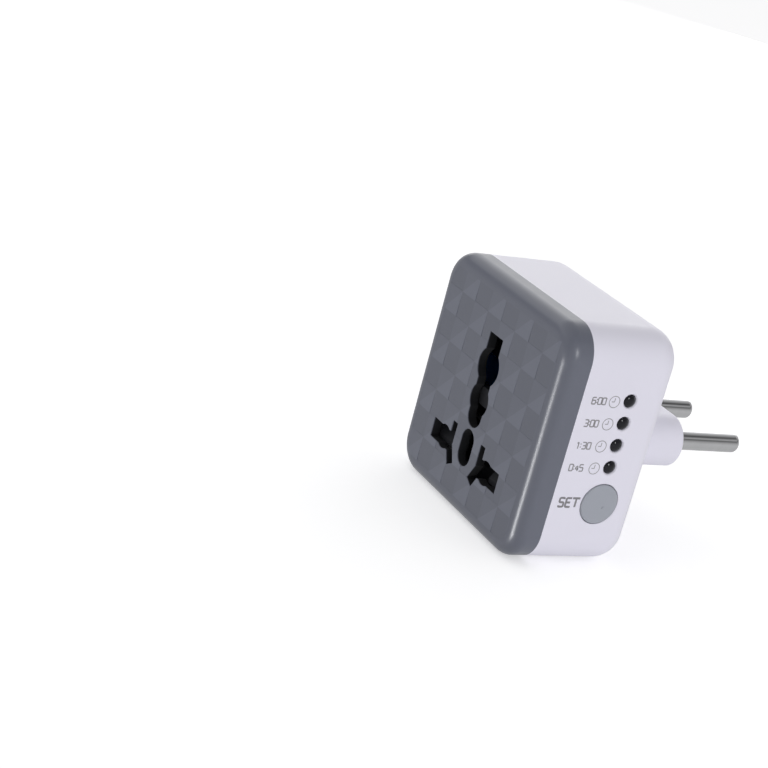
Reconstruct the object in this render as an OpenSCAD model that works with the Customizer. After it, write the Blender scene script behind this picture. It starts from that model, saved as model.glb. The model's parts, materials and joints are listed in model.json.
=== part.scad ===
// Plug-in countdown timer with a universal socket.
// X runs to the right as seen from the front, Y runs back into the wall, Z runs up. Millimetres.
// The origin is the centre of the plug nose's end face, midway between the two pins.
// Modules draw in case coordinates (Y = 0 at the front face, Z = 0 at mid height) and seat() moves them.

/* [Case] */
// Width of the case
case_w = 53; // [48:0.5:66]
// Height of the case
case_h = 53; // [50:0.5:66]
// Depth of the case without the nose
case_depth = 29.6; // [28:0.1:38]
// Radius of the four corners seen from the front
corner_r = 7.3; // [6:0.1:9]
// Depth of the grey front cover
cover_depth = 6.4; // [5.4:0.1:7.6]
// Rounding of the front rim
front_rim_r = 3.4; // [2.4:0.1:4.2]
// Rounding of the rear rim
rear_rim_r = 5.7; // [3:0.1:6]
// Side and rear wall thickness
wall = 2.2; // [1.8:0.1:2.6]
// Thickness of the panel that holds the apertures
panel_t = 2.2; // [1.8:0.1:2.6]
// Overlap of the cover's tongue inside the housing
tongue_depth = 1.8; // [1:0.1:2.4]
// Clearance round the tongue
tongue_gap = 0.1; // [0.05:0.05:0.2]

/* [Facets on the cover] */
// Distance between facet lines, across and upwards
facet_pitch = 5.85; // [5.2:0.05:6.5]
// Height of a facet line above the middle of the case
facet_shift = 0.6; // [0:0.1:5]
// Height of the raised facets' corners
facet_rise = 0.3; // [0.1:0.05:0.4]
// Depth of the sunk facets' lower edges
facet_sink = 0.25; // [0.1:0.05:0.4]
// Land between two facets
facet_land = 0.1; // [0.05:0.05:0.3]
// Plain border between the facets and the rounded rim
facet_border = 0.1; // [0.05:0.05:1]

/* [Plug] */
// Distance between the two pin centres
pin_spacing = 19; // [17:0.1:23]
// Diameter of a pin
pin_d = 4.5; // [4:0.1:5]
// Length of pin outside the nose
pin_length = 19; // [15:0.5:23]
// Rounding of the pin's tip
pin_tip_r = 1.2; // [0.5:0.1:1.8]
// Diameter of the bore inside a pin
pin_bore_d = 2.5; // [2:0.1:2.6]
// Length of the collar that fills the nose's mouth
collar_length = 3; // [2:0.5:5]
// Height of the pins below the middle of the case
pin_drop = 2.8; // [0:0.1:6]
// Length of the nose behind the case
nose_length = 15.8; // [8:0.1:19]
// Height of the nose
nose_h = 11.8; // [11:0.1:14]
// Distance from a pin centre to the nose's round end
nose_margin = 6; // [5.5:0.1:8]
// Rounding of the nose's end
nose_edge_r = 0.8; // [0.4:0.1:1.5]
// Hollow fillet where the nose meets the case
nose_root_r = 1.2; // [0.5:0.1:2]
// Wall of the nose
nose_wall = 1.8; // [1.5:0.1:2.4]

/* [Socket apertures] */
// Depth of the live and neutral line below the middle of the case
outlet_drop = 13.05; // [12:0.05:14]
// Distance from the middle to the outer end of a live or neutral slot
slot_reach = 14.9; // [14.3:0.1:15.4]
// Distance from the middle to the inner edge of a live or neutral slot
slot_inner = 5.4; // [5.1:0.1:5.6]
// Height of a live or neutral slot
slot_h = 4.55; // [4.4:0.05:4.8]
// Distance between the two round pin centres that the slots take
round_pin_spacing = 19; // [18:0.1:20]
// Diameter of the round swelling in each slot
round_pin_hole_d = 5.5; // [5:0.1:6]
// Distance between the two vertical blade centres
blade_spacing = 12.7; // [12.5:0.1:12.9]
// Width of a vertical blade's slot
blade_slot_w = 2; // [1.8:0.1:2.3]
// Height of a vertical blade's slot above the line
blade_rise = 4.9; // [4:0.1:5]
// Tilt of the slanted blade's slot
slant_angle = 29; // [25:1:32]
// Width of the slanted blade's slot
slant_slot_w = 2.6; // [2:0.1:2.8]
// Reach of the slanted blade's slot below the line
slant_reach = 5; // [4:0.1:5]
// Width of the earth slot
earth_slot_w = 5.6; // [5:0.1:6]
// Top of the earth slot above the middle of the case
earth_slot_top = 14.8; // [14:0.1:15.4]
// Upper round swelling of the earth slot: height and diameter
earth_hole_a = [7.6, 8.6];
// Lower round swelling of the earth slot: height and diameter
earth_hole_b = [-0.1, 7.6];
// Height of the round lower end of the earth slot
earth_slot_end = -3.7; // [-4:0.1:-3]
// Width of the oval hole between the slots
oval_w = 5.2; // [4.8:0.1:5.4]
// Distance between the two arc centres of the oval hole
oval_stretch = 3.3; // [2.6:0.1:3.4]

/* [Lamps and button] */
// Distance from the rear face to the row of lamps and the button
control_setback = 11.1; // [10.4:0.1:11.6]
// Number of lamps
lamp_count = 4; // [4:1:4]
// Height of the top lamp above the middle of the case
lamp_top = 12.3; // [12:0.1:12.6]
// Distance between lamps
lamp_pitch = 5.05; // [4.6:0.05:5.1]
// Diameter of a lamp hole
lamp_hole_d = 3; // [2.9:0.05:3.6]
// Radial gap between lamp and hole
lamp_gap = 0.08; // [0.05:0.01:0.2]
// Chamfer round a lamp hole
lamp_chamfer = 0.25; // [0.1:0.05:0.3]
// Depth of the lamp's dome below the surface
lamp_inset = 0.45; // [0.2:0.05:1.5]
// Diameter of the button
button_d = 9.1; // [7.5:0.1:11]
// Radial gap round the button
button_gap = 0.15; // [0.1:0.01:0.3]
// Height of the button below the middle of the case
button_drop = 11.3; // [11:0.1:12]
// Height of the button above the surface
button_proud = 0.3; // [0:0.05:0.8]
// Travel of the button
button_travel = 0.3; // [0.2:0.05:0.5]

/* [Shutter] */
// Front to back thickness of the shutter
shutter_t = 3.8; // [3.4:0.1:4]
// Travel that uncovers the slots
shutter_travel = 5.4; // [5.2:0.1:5.6]
// Clearance in front of, behind and beside the shutter
shutter_gap = 0.35; // [0.2:0.05:0.5]
// Wire diameter of the return springs
spring_wire_d = 0.35; // [0.3:0.05:0.4]
// Outer diameter of the return springs
spring_d = 2.8; // [2.4:0.1:3]
// Turns of a return spring
spring_turns = 4; // [3:1:4]

/* [Boards and relay] */
// Thickness of the power board
board_t = 1.6; // [1.2:0.2:2]
// Thickness of the control board
control_board_t = 1.2; // [0.8:0.2:1.6]
// Width of the relay
relay_w = 7.2; // [6.4:0.1:7.4]
// Length of the relay
relay_l = 20.5; // [18:0.5:21]
// Height of the relay above the board
relay_h = 15.3; // [14.4:0.1:15.6]
// Swing of the relay's armature
armature_swing = 5; // [3:0.5:6]

/* [Screws] */
// Distance from the case sides to the housing screws
screw_inset = 6.4; // [6.3:0.1:6.8]
// Shank diameter of the housing screws
screw_d = 2.9; // [2.6:0.1:3]
// Head diameter of the housing screws
screw_head_d = 4.8; // [4.4:0.1:4.9]
// Depth of the screw heads below the rear face
screw_sink = 12; // [9:0.5:13]

/* [Hidden] */
$fn = 64;

slip = 0.02;                    // radial slip of a pin or screw that is held fast
seat_gap = 0.05;                // gap between pieces that rest on each other
join = 0.3;                     // depth by which ribs and bosses run into the wall they grow from

// Case
inner_w = case_w - 2 * wall;
inner_h = case_h - 2 * wall;
inner_corner_r = corner_r - wall;
rear_inside = case_depth - wall;
nose_end = case_depth + nose_length;
nose_w = pin_spacing + 2 * nose_margin;
pin_x = pin_spacing / 2;
pin_z = -pin_drop;
nose_sink = 0.2;                // depth by which the nose's fillet runs into both walls

// Facets on the cover: whole cells of the lattice that lie at least half inside the field
field_w = case_w - 2 * (front_rim_r + facet_border);
field_h = case_h - 2 * (front_rim_r + facet_border);
field_r = corner_r - front_rim_r - facet_border;
facet_columns = [round(-field_w / 2 / facet_pitch) : round(field_w / 2 / facet_pitch) - 1];
facet_rows = [round((-field_h / 2 - facet_shift) / facet_pitch) :
              round((field_h / 2 - facet_shift) / facet_pitch) - 1];
facet_diagonal = facet_pitch / sqrt(2);
facet_fade = 0.02;              // depth by which a facet's slope runs on past the flat face

// Boards, from the back of the case forward
retainer_t = 1.15;
flange_t = 1.2;
collar_r = pin_d / 2 + 0.35;
flange_r = collar_r + 0.9;
sleeve_r = flange_r + 0.8;
stub_r = pin_bore_d / 2 + 0.65;
bore_end = 2.4;                 // metal left in front of the bore, at the pin's tip
drill_tip = 0.7;                // cone that the drill leaves
board_back = rear_inside - retainer_t - 0.65;
board_front = board_back - board_t;
board_w = inner_w - 1.8;
board_h = inner_h - 1.8;
stub_end = board_front - 0.3;

// Screws and their bosses
screw_x = case_w / 2 - screw_inset;
screw_z = case_h / 2 - screw_inset;
screw_boss_r = screw_head_d / 2 + 1.15;
screw_head_t = 1.9;
screw_seat = case_depth - screw_sink;
boss_meet = cover_depth + 2;
screw_tip = panel_t + 1.4;

// Contact carrier
carrier_front = panel_t + 2 * shutter_gap + shutter_t;
carrier_back = board_front - 0.6;
carrier_ear_t = 2.4;
carrier_half_w = slot_reach + 1.4;
carrier_floor_t = 1.2;
well_gap = 0.3;
well_low = -(outlet_drop + slant_reach + well_gap);
well_high = -(outlet_drop - blade_rise) + well_gap;
carrier_low = well_low - 1.2;
carrier_shoulder = well_high + 1;
earth_well_w = earth_slot_w - 0.1;
earth_well_low = 2.2;
earth_well_wall = 1.4;
tower_half_w = earth_well_w / 2 + earth_well_wall;
ear_at = [[-11, 10], [11, 10], [0, -21.6]];
ear_r = 2.9;
low_ear_r = 2.6;
ear_boss_r = 2.3;
small_screw_r = 1;
small_head_r = 1.9;
small_head_t = 1.3;
small_hole_r = small_screw_r + 0.15;

// Contacts
strip_t = 0.5;
contact_back = carrier_back - carrier_floor_t - seat_gap;
contact_span = [slot_inner + 0.7, slot_reach - 0.1];
contact_side = slot_inner - 0.3;
contact_height = [-outlet_drop - 4.6, -outlet_drop + 4.2];
mouth_y = carrier_front + 4.7;
tail_x = 10;
tail_w = 1.8;

// Shutter
shutter_front = panel_t + shutter_gap;
shutter_back = shutter_front + shutter_t;
shutter_leg_t = 0.8;
shutter_half_w = slot_reach + 0.2 + shutter_leg_t;
shutter_bar_t = 1.7;
shutter_bar_low = -2.2;
shutter_bar_top = 1.8;
block_top = -outlet_drop + round_pin_hole_d / 2 - 0.2;
block_low = -outlet_drop - round_pin_hole_d / 2 + 0.1;
block_inner = 8.1;
guide_t = 0.7;
guide_x = shutter_half_w + 0.15;
guide_low = block_low - shutter_travel - 0.9;
guide_top = shutter_bar_top + 1.6;
guide_stop = 2.6;
spring_x = (block_inner + slot_reach) / 2 + 0.2;
spring_y = (shutter_front + shutter_back) / 2;
spring_seat_t = 1;
spring_seat_z = -(inner_h / 2 - 0.2) + spring_seat_t;

// Controls
control_y = case_depth - control_setback;
lamp_z = [for (i = [0 : lamp_count - 1]) lamp_top - i * lamp_pitch];
button_z = -button_drop;
wall_in_x = case_w / 2 - wall;
flange_in_x = wall_in_x - 0.15;
button_flange_t = 0.8;
button_flange_r = button_d / 2 + 0.85;
button_stem_r = 1.5;
button_face = case_w / 2 + button_proud;
gate_mark = [0.8, -0.5];        // moulding gate's mark on the button: back and up from its centre
gate_mark_r = 0.35;
plunger_top_x = flange_in_x - button_flange_t - seat_gap;
plunger_r = 1.6;
tact_w = 6;
tact_h = 3.1;
tact_leg_w = 0.7;
tact_leg_reach = 3.9;
plunger_sink = 1.5;
tact_top_x = plunger_top_x - 1;
control_board_x = tact_top_x - tact_h;
control_board_back_x = control_board_x - control_board_t;
control_board_half = screw_z - screw_boss_r - 0.3;
control_board_front_y = control_y - 9;
control_board_rear_y = board_front - 0.4;
lamp_r = lamp_hole_d / 2 - lamp_gap;
lamp_tip_x = case_w / 2 - lamp_inset;
lamp_len = 5.3;
lamp_base_x = lamp_tip_x - lamp_len;
lamp_flange_r = lamp_r + 0.4;
header_pitch = 2;
header_side = 0.5;
header_z = [for (i = [0 : 4]) i * header_pitch];
header_x = [control_board_back_x - header_side, control_board_back_x - seat_gap];

// Relay
relay_x = -(inner_w / 2 - 0.2 - relay_w / 2);
relay_wall = 0.7;
relay_base_t = 1.4;
relay_foot = board_front - seat_gap;
relay_inside_y = relay_foot - relay_base_t;
relay_top = board_front - relay_h;
coil_r = relay_w / 2 - relay_wall - 0.35;
coil_len = relay_l * 0.44;
coil_y = relay_inside_y - coil_r - 0.3;
coil_z0 = -relay_l / 2 + relay_wall + 1.6;
coil_z1 = coil_z0 + coil_len;
bobbin_flange_t = 0.6;
core_r = 1;
yoke_t = 1;
yoke_w = relay_w - 2 * relay_wall - 1;
yoke_y = coil_y - coil_r - 0.3 - yoke_t;
pole_z = coil_z1 + 0.7;
armature_t = 0.9;
armature_pivot_y = yoke_y + yoke_t / 2;
armature_tip_y = coil_y + core_r + 0.6;
armature_gap = (armature_tip_y - armature_pivot_y) * sin(armature_swing) + 0.12;
armature_z = pole_z + armature_gap;
contact_t = 0.3;
contact_button_t = 0.5;
contact_button_r = 0.9;
contact_y = yoke_y - 3.6;
contact_gap = (armature_pivot_y - contact_y + contact_button_r) * sin(armature_swing) + 0.12;
contact_face_z = armature_z + armature_t + contact_t + contact_button_t + contact_gap;

// Small parts round the carrier
top_zone_z = (earth_slot_top + 1.8 + inner_h / 2) / 2 - 0.1;
low_zone_z = -(inner_h / 2 - 2.3);
film_size = [12.6, 6, 11.6];
can_r = 3.15;
can_h = 11;
can_groove_r = 0.35;
can_x = 5.4;
lead_r = 0.3;
varistor_rise = 5.2;
// Upright parts with a folded lead: X, Z and the distance to the folded lead.
diode_at = [for (i = [0 : 3]) [-12.4 + i * 4, low_zone_z, 1.9]];
zener_at = [[3.6, low_zone_z, 1.6]];
bleed_at = [for (i = [0, 1]) [7 + i * 3.8, low_zone_z, 1.8]];
fuse_at = [[10.8, top_zone_z, 2.4]];

// ---------------------------------------------------------------- placing and shared shapes

module seat() translate([0, -nose_end, pin_drop]) children();

// Extrudes a shape drawn in X and Z from y0 back to y1.
module along_y(y0, y1) translate([0, y1, 0]) rotate([90, 0, 0]) linear_extrude(y1 - y0) children();

// Extrudes a shape drawn in Y and Z from x0 out to x1.
module along_x(x0, x1) translate([x0, 0, 0]) rotate([90, 0, 90]) linear_extrude(x1 - x0) children();

// Revolves a profile of radius and Y about the Y axis.
module turned_y() rotate([-90, 0, 0]) rotate_extrude() children();

// Revolves a profile of radius and X about the X axis.
module turned_x() rotate([0, 90, 0]) rotate_extrude() children();

module along_z(z0, z1) translate([0, 0, z0]) linear_extrude(z1 - z0) children();

module rod_y(r, y0, y1) translate([0, y0, 0]) rotate([-90, 0, 0]) cylinder(r = r, h = y1 - y0);

module rod_x(r, x0, x1) translate([x0, 0, 0]) rotate([0, 90, 0]) cylinder(r = r, h = x1 - x0);

module block(x, y, z) translate([x[0], y[0], z[0]]) cube([x[1] - x[0], y[1] - y[0], z[1] - z[0]]);

module rounded_square(w, h, r) {
    square([w - 2 * r, h], center = true);
    square([w, h - 2 * r], center = true);
    for (sx = [-1, 1], sz = [-1, 1]) translate([sx * (w / 2 - r), sz * (h / 2 - r)]) circle(r);
}

module stadium(w, h) {
    square([w - h, h], center = true);
    for (sx = [-1, 1]) translate([sx * (w - h) / 2, 0]) circle(h / 2);
}

// Half of a slab's section: from the middle out to the rim, front corner rounded.
module rim_profile(reach, fillet, depth) {
    translate([0, fillet]) square([reach, depth - fillet]);
    square([reach - fillet, depth]);
    intersection() {
        translate([reach - fillet, fillet]) circle(fillet);
        square([reach, depth]);
    }
}

// Slab with rounded corners and a rounded front rim: front face at y = 0, flat back at y = depth.
module pillow(w, h, r, fillet, depth) {
    bar = w / 2 - r;
    strip = h / 2 - r;
    for (s = [0, 1]) mirror([0, 0, s])
        along_x(-bar, bar) mirror([1, -1]) rim_profile(h / 2, fillet, depth);
    if (strip > 0.001)
        for (s = [0, 1]) mirror([s, 0, 0])
            translate([bar, 0, -strip]) linear_extrude(2 * strip) rim_profile(r, fillet, depth);
    for (quarter = [0 : 3])
        translate([(quarter == 0 || quarter == 3 ? 1 : -1) * bar, 0, (quarter < 2 ? -1 : 1) * strip])
            rotate([-90, 0, 0]) rotate([0, 0, 90 * quarter])
                rotate_extrude(angle = 90) rim_profile(r, fillet, depth);
}

// The same slab with its rounded rim at the back, between y0 and y1.
module rear_pillow(w, h, r, fillet, y0, y1)
    translate([0, y1, 0]) mirror([0, 1, 0]) pillow(w, h, r, fillet, y1 - y0);

module at_corners() for (sx = [-1, 1], sz = [-1, 1]) translate([sx * screw_x, 0, sz * screw_z]) children();

module at_ears() for (p = ear_at) translate([p[0], 0, p[1]]) children();

module both_sides() for (s = [0, 1]) mirror([s, 0, 0]) children();

function unit(v) = v / norm(v);
function left_of(v) = [-v[1], v[0]];
function flip(p) = [for (i = [len(p) - 1 : -1 : 0]) p[i]];

// One edge of a bent strip that runs along the points p, with mitred bends.
function strip_edge(p, t, side) = [
    for (i = [0 : len(p) - 1])
        let (before = i > 0 ? unit(p[i] - p[i - 1]) : unit(p[1] - p[0]),
             after = i < len(p) - 1 ? unit(p[i + 1] - p[i]) : before,
             mitre = unit(left_of(before) + left_of(after)))
            p[i] + side * t / 2 / (mitre * left_of(before)) * mitre
];

module bent_strip(p, t) polygon(concat(strip_edge(p, t, 1), flip(strip_edge(p, t, -1))));

// ---------------------------------------------------------------- apertures

module live_slot() {
    line = -outlet_drop;
    translate([slot_inner, line - slot_h / 2]) square([slot_reach - slot_inner, slot_h]);
    translate([round_pin_spacing / 2, line]) circle(d = round_pin_hole_d);
    translate([blade_spacing / 2 - blade_slot_w / 2, line]) square([blade_slot_w, blade_rise]);
    translate([blade_spacing / 2 + 0.6, line]) rotate(-slant_angle)
        translate([-slant_slot_w / 2, -slant_reach]) square([slant_slot_w, slant_reach]);
}

module earth_slot() {
    translate([-earth_slot_w / 2, earth_slot_end]) square([earth_slot_w, earth_slot_top - earth_slot_end]);
    translate([0, earth_slot_end]) circle(d = earth_slot_w);
    for (hole = [earth_hole_a, earth_hole_b]) translate([0, hole[0]]) circle(d = hole[1]);
}

module oval_hole(grow = 0) {
    r = oval_w / 2 + grow;
    translate([-r, -outlet_drop]) square([2 * r, oval_stretch]);
    for (rise = [0, oval_stretch]) translate([0, rise - outlet_drop]) circle(r);
}

module apertures() {
    live_slot();
    mirror([1, 0]) live_slot();
    earth_slot();
    oval_hole();
}

// ---------------------------------------------------------------- shells

module front_cover() color([0.36, 0.37, 0.4]) seat() {
    difference() {
        union() {
            difference() {
                union() {
                    pillow(case_w, case_h, corner_r, front_rim_r, cover_depth);
                    cover_tongue();
                    raised_facets();
                }
                sunk_facets();
                translate([0, panel_t, 0])
                    pillow(inner_w, inner_h, inner_corner_r, front_rim_r - wall, cover_depth);
            }
            at_corners() rod_y(screw_boss_r, panel_t - join, boss_meet - seat_gap);
            at_ears() rod_y(ear_boss_r, panel_t - join, carrier_front - seat_gap);
            both_sides() shutter_guide();
        }
        along_y(-1, panel_t + join) apertures();
        at_corners() rod_y(screw_d / 2 + slip, screw_tip - 0.4, boss_meet + 1);
        at_ears() rod_y(small_screw_r + slip, panel_t + 0.8, carrier_front + 1);
    }
}

// Columns over every second cell of the facets' lattice, from y0 back to y1.
module facet_cells(odd, y0, y1) intersection() {
    along_y(y0, y1) rounded_square(field_w, field_h, field_r);
    along_y(y0 - 1, y1 + 1) for (i = facet_columns, j = facet_rows) if (abs(i + j) % 2 == odd)
        translate([i * facet_pitch + facet_land / 2, j * facet_pitch + facet_shift + facet_land / 2])
            square(facet_pitch - facet_land);
}

// Facets that rise from the cell's diagonal to its lower right corner.
module raised_facets() intersection() {
    facet_cells(0, -2 * facet_rise, join);
    translate([0, 0, facet_shift]) rotate([0, 45, 0]) linear_extrude(2 * case_w, center = true)
        for (d = [2 * facet_columns[0] - 2 : 2 : -2 * facet_columns[0] + 2])
            translate([d * facet_diagonal, 0])
                polygon([[0, facet_fade], [facet_diagonal, -facet_rise], [facet_diagonal, join], [0, join]]);
}

// Facets that sink from the cell's upper edge to its lower edge.
module sunk_facets() intersection() {
    facet_cells(1, -1, facet_sink + join);
    along_x(-case_w, case_w) for (j = facet_rows)
        translate([0, j * facet_pitch + facet_shift])
            polygon([[-2, 0], [facet_sink, 0], [-facet_fade, facet_pitch], [-2, facet_pitch]]);
}

// Tongue that slips inside the housing's front edge.
module cover_tongue() {
    shrink = wall + 2 * tongue_gap;
    along_y(cover_depth - 1, cover_depth + tongue_depth)
        rounded_square(case_w - shrink, case_h - shrink, corner_r - shrink / 2);
}

// Rail beside the shutter's leg, with the stop that it rests against.
module shutter_guide() {
    block([guide_x, guide_x + guide_t], [panel_t - join, shutter_back], [guide_low, guide_top]);
    block([guide_x - guide_stop, guide_x + guide_t], [panel_t - join, shutter_front + shutter_bar_t],
          [shutter_bar_top + seat_gap, guide_top]);
}

module rear_housing() color([0.85, 0.85, 0.88]) seat() {
    difference() {
        union() {
            difference() {
                union() {
                    rear_pillow(case_w, case_h, corner_r, rear_rim_r, cover_depth, case_depth);
                    translate([0, 0, pin_z]) nose_outside();
                }
                rear_pillow(inner_w, inner_h, inner_corner_r, rear_rim_r - wall,
                            cover_depth - 1, rear_inside);
                tongue_rebate();
                translate([0, 0, pin_z]) along_y(rear_inside - 1, nose_end - nose_wall)
                    stadium(nose_w - 2 * nose_wall, nose_h - 2 * nose_wall);
            }
            translate([0, 0, pin_z]) nose_posts();
            at_corners() rod_y(screw_boss_r, boss_meet, case_depth - 1);
            at_corners() rod_y(screw_boss_r + 1.1, board_back + seat_gap, rear_inside + join);
        }
        at_corners() rod_y(screw_d / 2 + 0.15, boss_meet - 1, screw_seat + 1);
        at_corners() rod_y(screw_head_d / 2 + 0.25, screw_seat, case_depth + 1);
        translate([0, 0, pin_z]) nose_cuts();
        for (z = lamp_z) translate([0, control_y, z]) lamp_hole();
        translate([0, control_y, button_z]) rod_x(button_d / 2 + button_gap, wall_in_x - 1, case_w / 2 + 1);
    }
}

// Lamp hole with a chamfered mouth; the cone starts a little inside the hole.
module lamp_hole() {
    start = 0.05;
    rod_x(lamp_hole_d / 2, wall_in_x - 1, case_w / 2 + 1);
    translate([case_w / 2 - lamp_chamfer - start, 0, 0]) rotate([0, 90, 0])
        cylinder(r1 = lamp_hole_d / 2 - start, r2 = lamp_hole_d / 2 + 2 * lamp_chamfer,
                 h = 2 * lamp_chamfer + start);
}

module tongue_rebate() {
    along_y(cover_depth - 1, cover_depth + tongue_depth + tongue_gap)
        rounded_square(case_w - wall, case_h - wall, corner_r - wall / 2);
}

// Nose with a stadium section, a rounded end and a hollow fillet at its root.
module nose_outside() {
    rear_pillow(nose_w, nose_h, nose_h / 2, nose_edge_r, rear_inside + join, nose_end);
    nose_root();
}

// Sleeves round the pins and the boss for the retainer's screw, which stand on the nose's end.
module nose_posts() {
    for (s = [-1, 1]) translate([s * pin_x, 0, 0]) rod_y(sleeve_r, rear_inside + seat_gap, nose_end - 1);
    rod_y(small_screw_r + 1.5, rear_inside + seat_gap, nose_end - 1);
}

module nose_root() {
    r = nose_root_r;
    straight = (nose_w - nose_h) / 2;
    for (s = [0, 1]) mirror([0, 0, s])
        along_x(-straight, straight) translate([case_depth, nose_h / 2 - nose_sink]) hollow_corner(r);
    for (s = [0, 1]) mirror([s, 0, 0]) translate([straight, case_depth, 0])
        rotate([-90, 0, 0]) rotate([0, 0, -90]) rotate_extrude(angle = 180)
            translate([nose_h / 2 - nose_sink, 0]) mirror([1, -1]) hollow_corner(r);
}

// Quarter-round hollow fillet, with a little stock to sink into both walls.
module hollow_corner(r) {
    difference() {
        translate([-nose_sink, 0]) square([r + nose_sink, r + nose_sink]);
        translate([r, r + nose_sink]) circle(r);
    }
}

module nose_cuts() {
    for (s = [-1, 1]) translate([s * pin_x, 0, 0]) {
        rod_y(collar_r + slip, rear_inside - 1, nose_end + 1);
        rod_y(flange_r + slip, rear_inside - 1, rear_inside + flange_t + seat_gap);
    }
    rod_y(small_screw_r + slip, rear_inside - 1, rear_inside + 6.5);
}

module cross_recess(size, depth) {
    block([-size / 2, size / 2], [-depth, depth], [-0.35, 0.35]);
    block([-0.35, 0.35], [-depth, depth], [-size / 2, size / 2]);
}

module housing_screws() color("silver") seat() at_corners() difference() {
    union() {
        rod_y(screw_d / 2, screw_tip, screw_seat + 0.5);
        rod_y(screw_head_d / 2, screw_seat, screw_seat + screw_head_t);
    }
    translate([0, screw_seat + screw_head_t, 0]) cross_recess(3.2, 1.1);
}

// ---------------------------------------------------------------- plug pins

// Turned pin: soldered stub, flange, slim shank, collar in the nose's mouth and the pin, bored from inside.
module plug_pin() color([0.72, 0.72, 0.7]) turned_y() difference() {
    tip = nose_end + pin_length;
    union() {
        translate([0, stub_end]) square([stub_r, nose_end - stub_end]);
        translate([0, rear_inside]) square([flange_r, flange_t]);
        translate([0, nose_end - collar_length]) square([collar_r, collar_length]);
        translate([0, nose_end - 1]) square([pin_d / 2, pin_length - pin_tip_r + 1]);
        translate([0, tip - pin_tip_r - 1]) square([pin_d / 2 - pin_tip_r, pin_tip_r + 1]);
        translate([pin_d / 2 - pin_tip_r, tip - pin_tip_r]) intersection() {
            circle(pin_tip_r);
            square(pin_tip_r);
        }
    }
    translate([-1, stub_end - 1]) square([1, nose_end + pin_length]);
    polygon([[-1, stub_end - 1], [pin_bore_d / 2, stub_end - 1],
             [pin_bore_d / 2, tip - bore_end - drill_tip], [0, tip - bore_end], [-1, tip - bore_end]]);
}

module line_pin() seat() translate([-pin_x, 0, pin_z]) plug_pin();

module neutral_pin() seat() translate([pin_x, 0, pin_z]) plug_pin();

module pin_retainer() color([0.9, 0.9, 0.86]) seat() translate([0, 0, pin_z]) difference() {
    along_y(rear_inside - retainer_t, rear_inside - seat_gap)
        stadium(pin_spacing + 2 * flange_r + 1, 2 * flange_r);
    for (s = [-1, 1]) translate([s * pin_x, 0, 0]) rod_y(stub_r + 0.15, board_back, rear_inside + 1);
    rod_y(small_screw_r + 0.15, board_back, rear_inside + 1);
    turned_y() countersink(0.06);
}

// Cone of the flat-headed screw, widest at the retainer's front face.
module countersink(grow) {
    mouth = rear_inside - retainer_t;
    polygon([[0, mouth - grow], [small_head_r + grow, mouth - grow], [small_head_r + grow, mouth],
             [small_screw_r + grow / 2, mouth + 0.9 + grow], [0, mouth + 0.9 + grow]]);
}

module retainer_screw() color("silver") seat() translate([0, 0, pin_z]) difference() {
    union() {
        turned_y() countersink(0);
        rod_y(small_screw_r, rear_inside - retainer_t + 0.5, rear_inside + 6);
    }
    translate([0, rear_inside - retainer_t, 0]) cross_recess(2, 0.5);
}

// ---------------------------------------------------------------- socket inside

module contact_carrier() color([0.88, 0.88, 0.84]) seat() difference() {
    union() {
        block([-carrier_half_w, carrier_half_w], [carrier_front, carrier_back],
              [carrier_low, carrier_shoulder]);
        block([-tower_half_w, tower_half_w], [carrier_front, carrier_back],
              [carrier_shoulder - 1, earth_slot_top + earth_well_wall]);
        carrier_ears();
        both_sides() spring_seat();
    }
    block([-earth_well_w / 2, earth_well_w / 2], [carrier_front - 1, carrier_back + 1],
          [earth_well_low, earth_slot_top + 0.1]);
    along_y(carrier_front - 1, carrier_back - 5) oval_hole(0.05);
    both_sides() contact_well();
    at_ears() rod_y(small_hole_r, carrier_front - 1, carrier_front + carrier_ear_t + 1);
}

// Lugs that carry the three carrier screws.
module carrier_ears() along_y(carrier_front, carrier_front + carrier_ear_t) {
    upper = ear_at[1];
    for (s = [0, 1]) mirror([s, 0]) {
        translate(upper) circle(ear_r);
        translate([0, upper[1] - ear_r]) square([upper[0], 2 * ear_r]);
    }
    translate(ear_at[2]) circle(low_ear_r);
    translate([-low_ear_r, ear_at[2][1]]) square([2 * low_ear_r, carrier_low - ear_at[2][1] + 1]);
}

// Ledge that a shutter spring stands on.
module spring_seat() {
    half = spring_d / 2 + 0.5;
    block([spring_x - half, spring_x + half], [spring_y - spring_d / 2, carrier_front + carrier_ear_t],
          [spring_seat_z - spring_seat_t, spring_seat_z]);
    block([spring_x - half, spring_x + half], [carrier_front, carrier_front + carrier_ear_t],
          [spring_seat_z - spring_seat_t, carrier_low + 1]);
}

// Well for a live or neutral contact, with the slot that its tail drops through.
module contact_well() {
    block([slot_inner - 0.4, slot_reach + 0.3], [carrier_front - 1, carrier_back - carrier_floor_t],
          [well_low, well_high]);
    contact_tail(0.15, carrier_back + 1);
}

module contact_tail(grow, y1)
    block([tail_x - tail_w / 2 - grow, tail_x + tail_w / 2 + grow], [contact_back - strip_t, y1],
          [-outlet_drop - strip_t / 2 - grow, -outlet_drop + strip_t / 2 + grow]);

// Spring contact: a base, two bowed leaves that grip round and flat pins, and an inner leaf for blades.
module socket_contact() color([0.8, 0.62, 0.3]) {
    root = contact_back - strip_t / 2;
    leaf = [[root, 0], [root, 2.6], [(root + mouth_y) / 2, 2.35], [mouth_y + 1.7, 1.75],
            [mouth_y + 0.3, 2.6]];
    for (s = [0, 1]) translate([0, 0, -outlet_drop]) mirror([0, 0, s])
        along_x(contact_span[0], contact_span[1]) bent_strip(leaf, strip_t);
    block([contact_side, contact_span[0] + 0.5], [contact_back - strip_t, contact_back], contact_height);
    block([contact_side, contact_side + 0.4], [mouth_y + 1, contact_back], contact_height);
    contact_tail(0, board_back + 0.3);
}

module neutral_contact() seat() socket_contact();

module line_contact() seat() mirror([1, 0, 0]) socket_contact();

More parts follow.
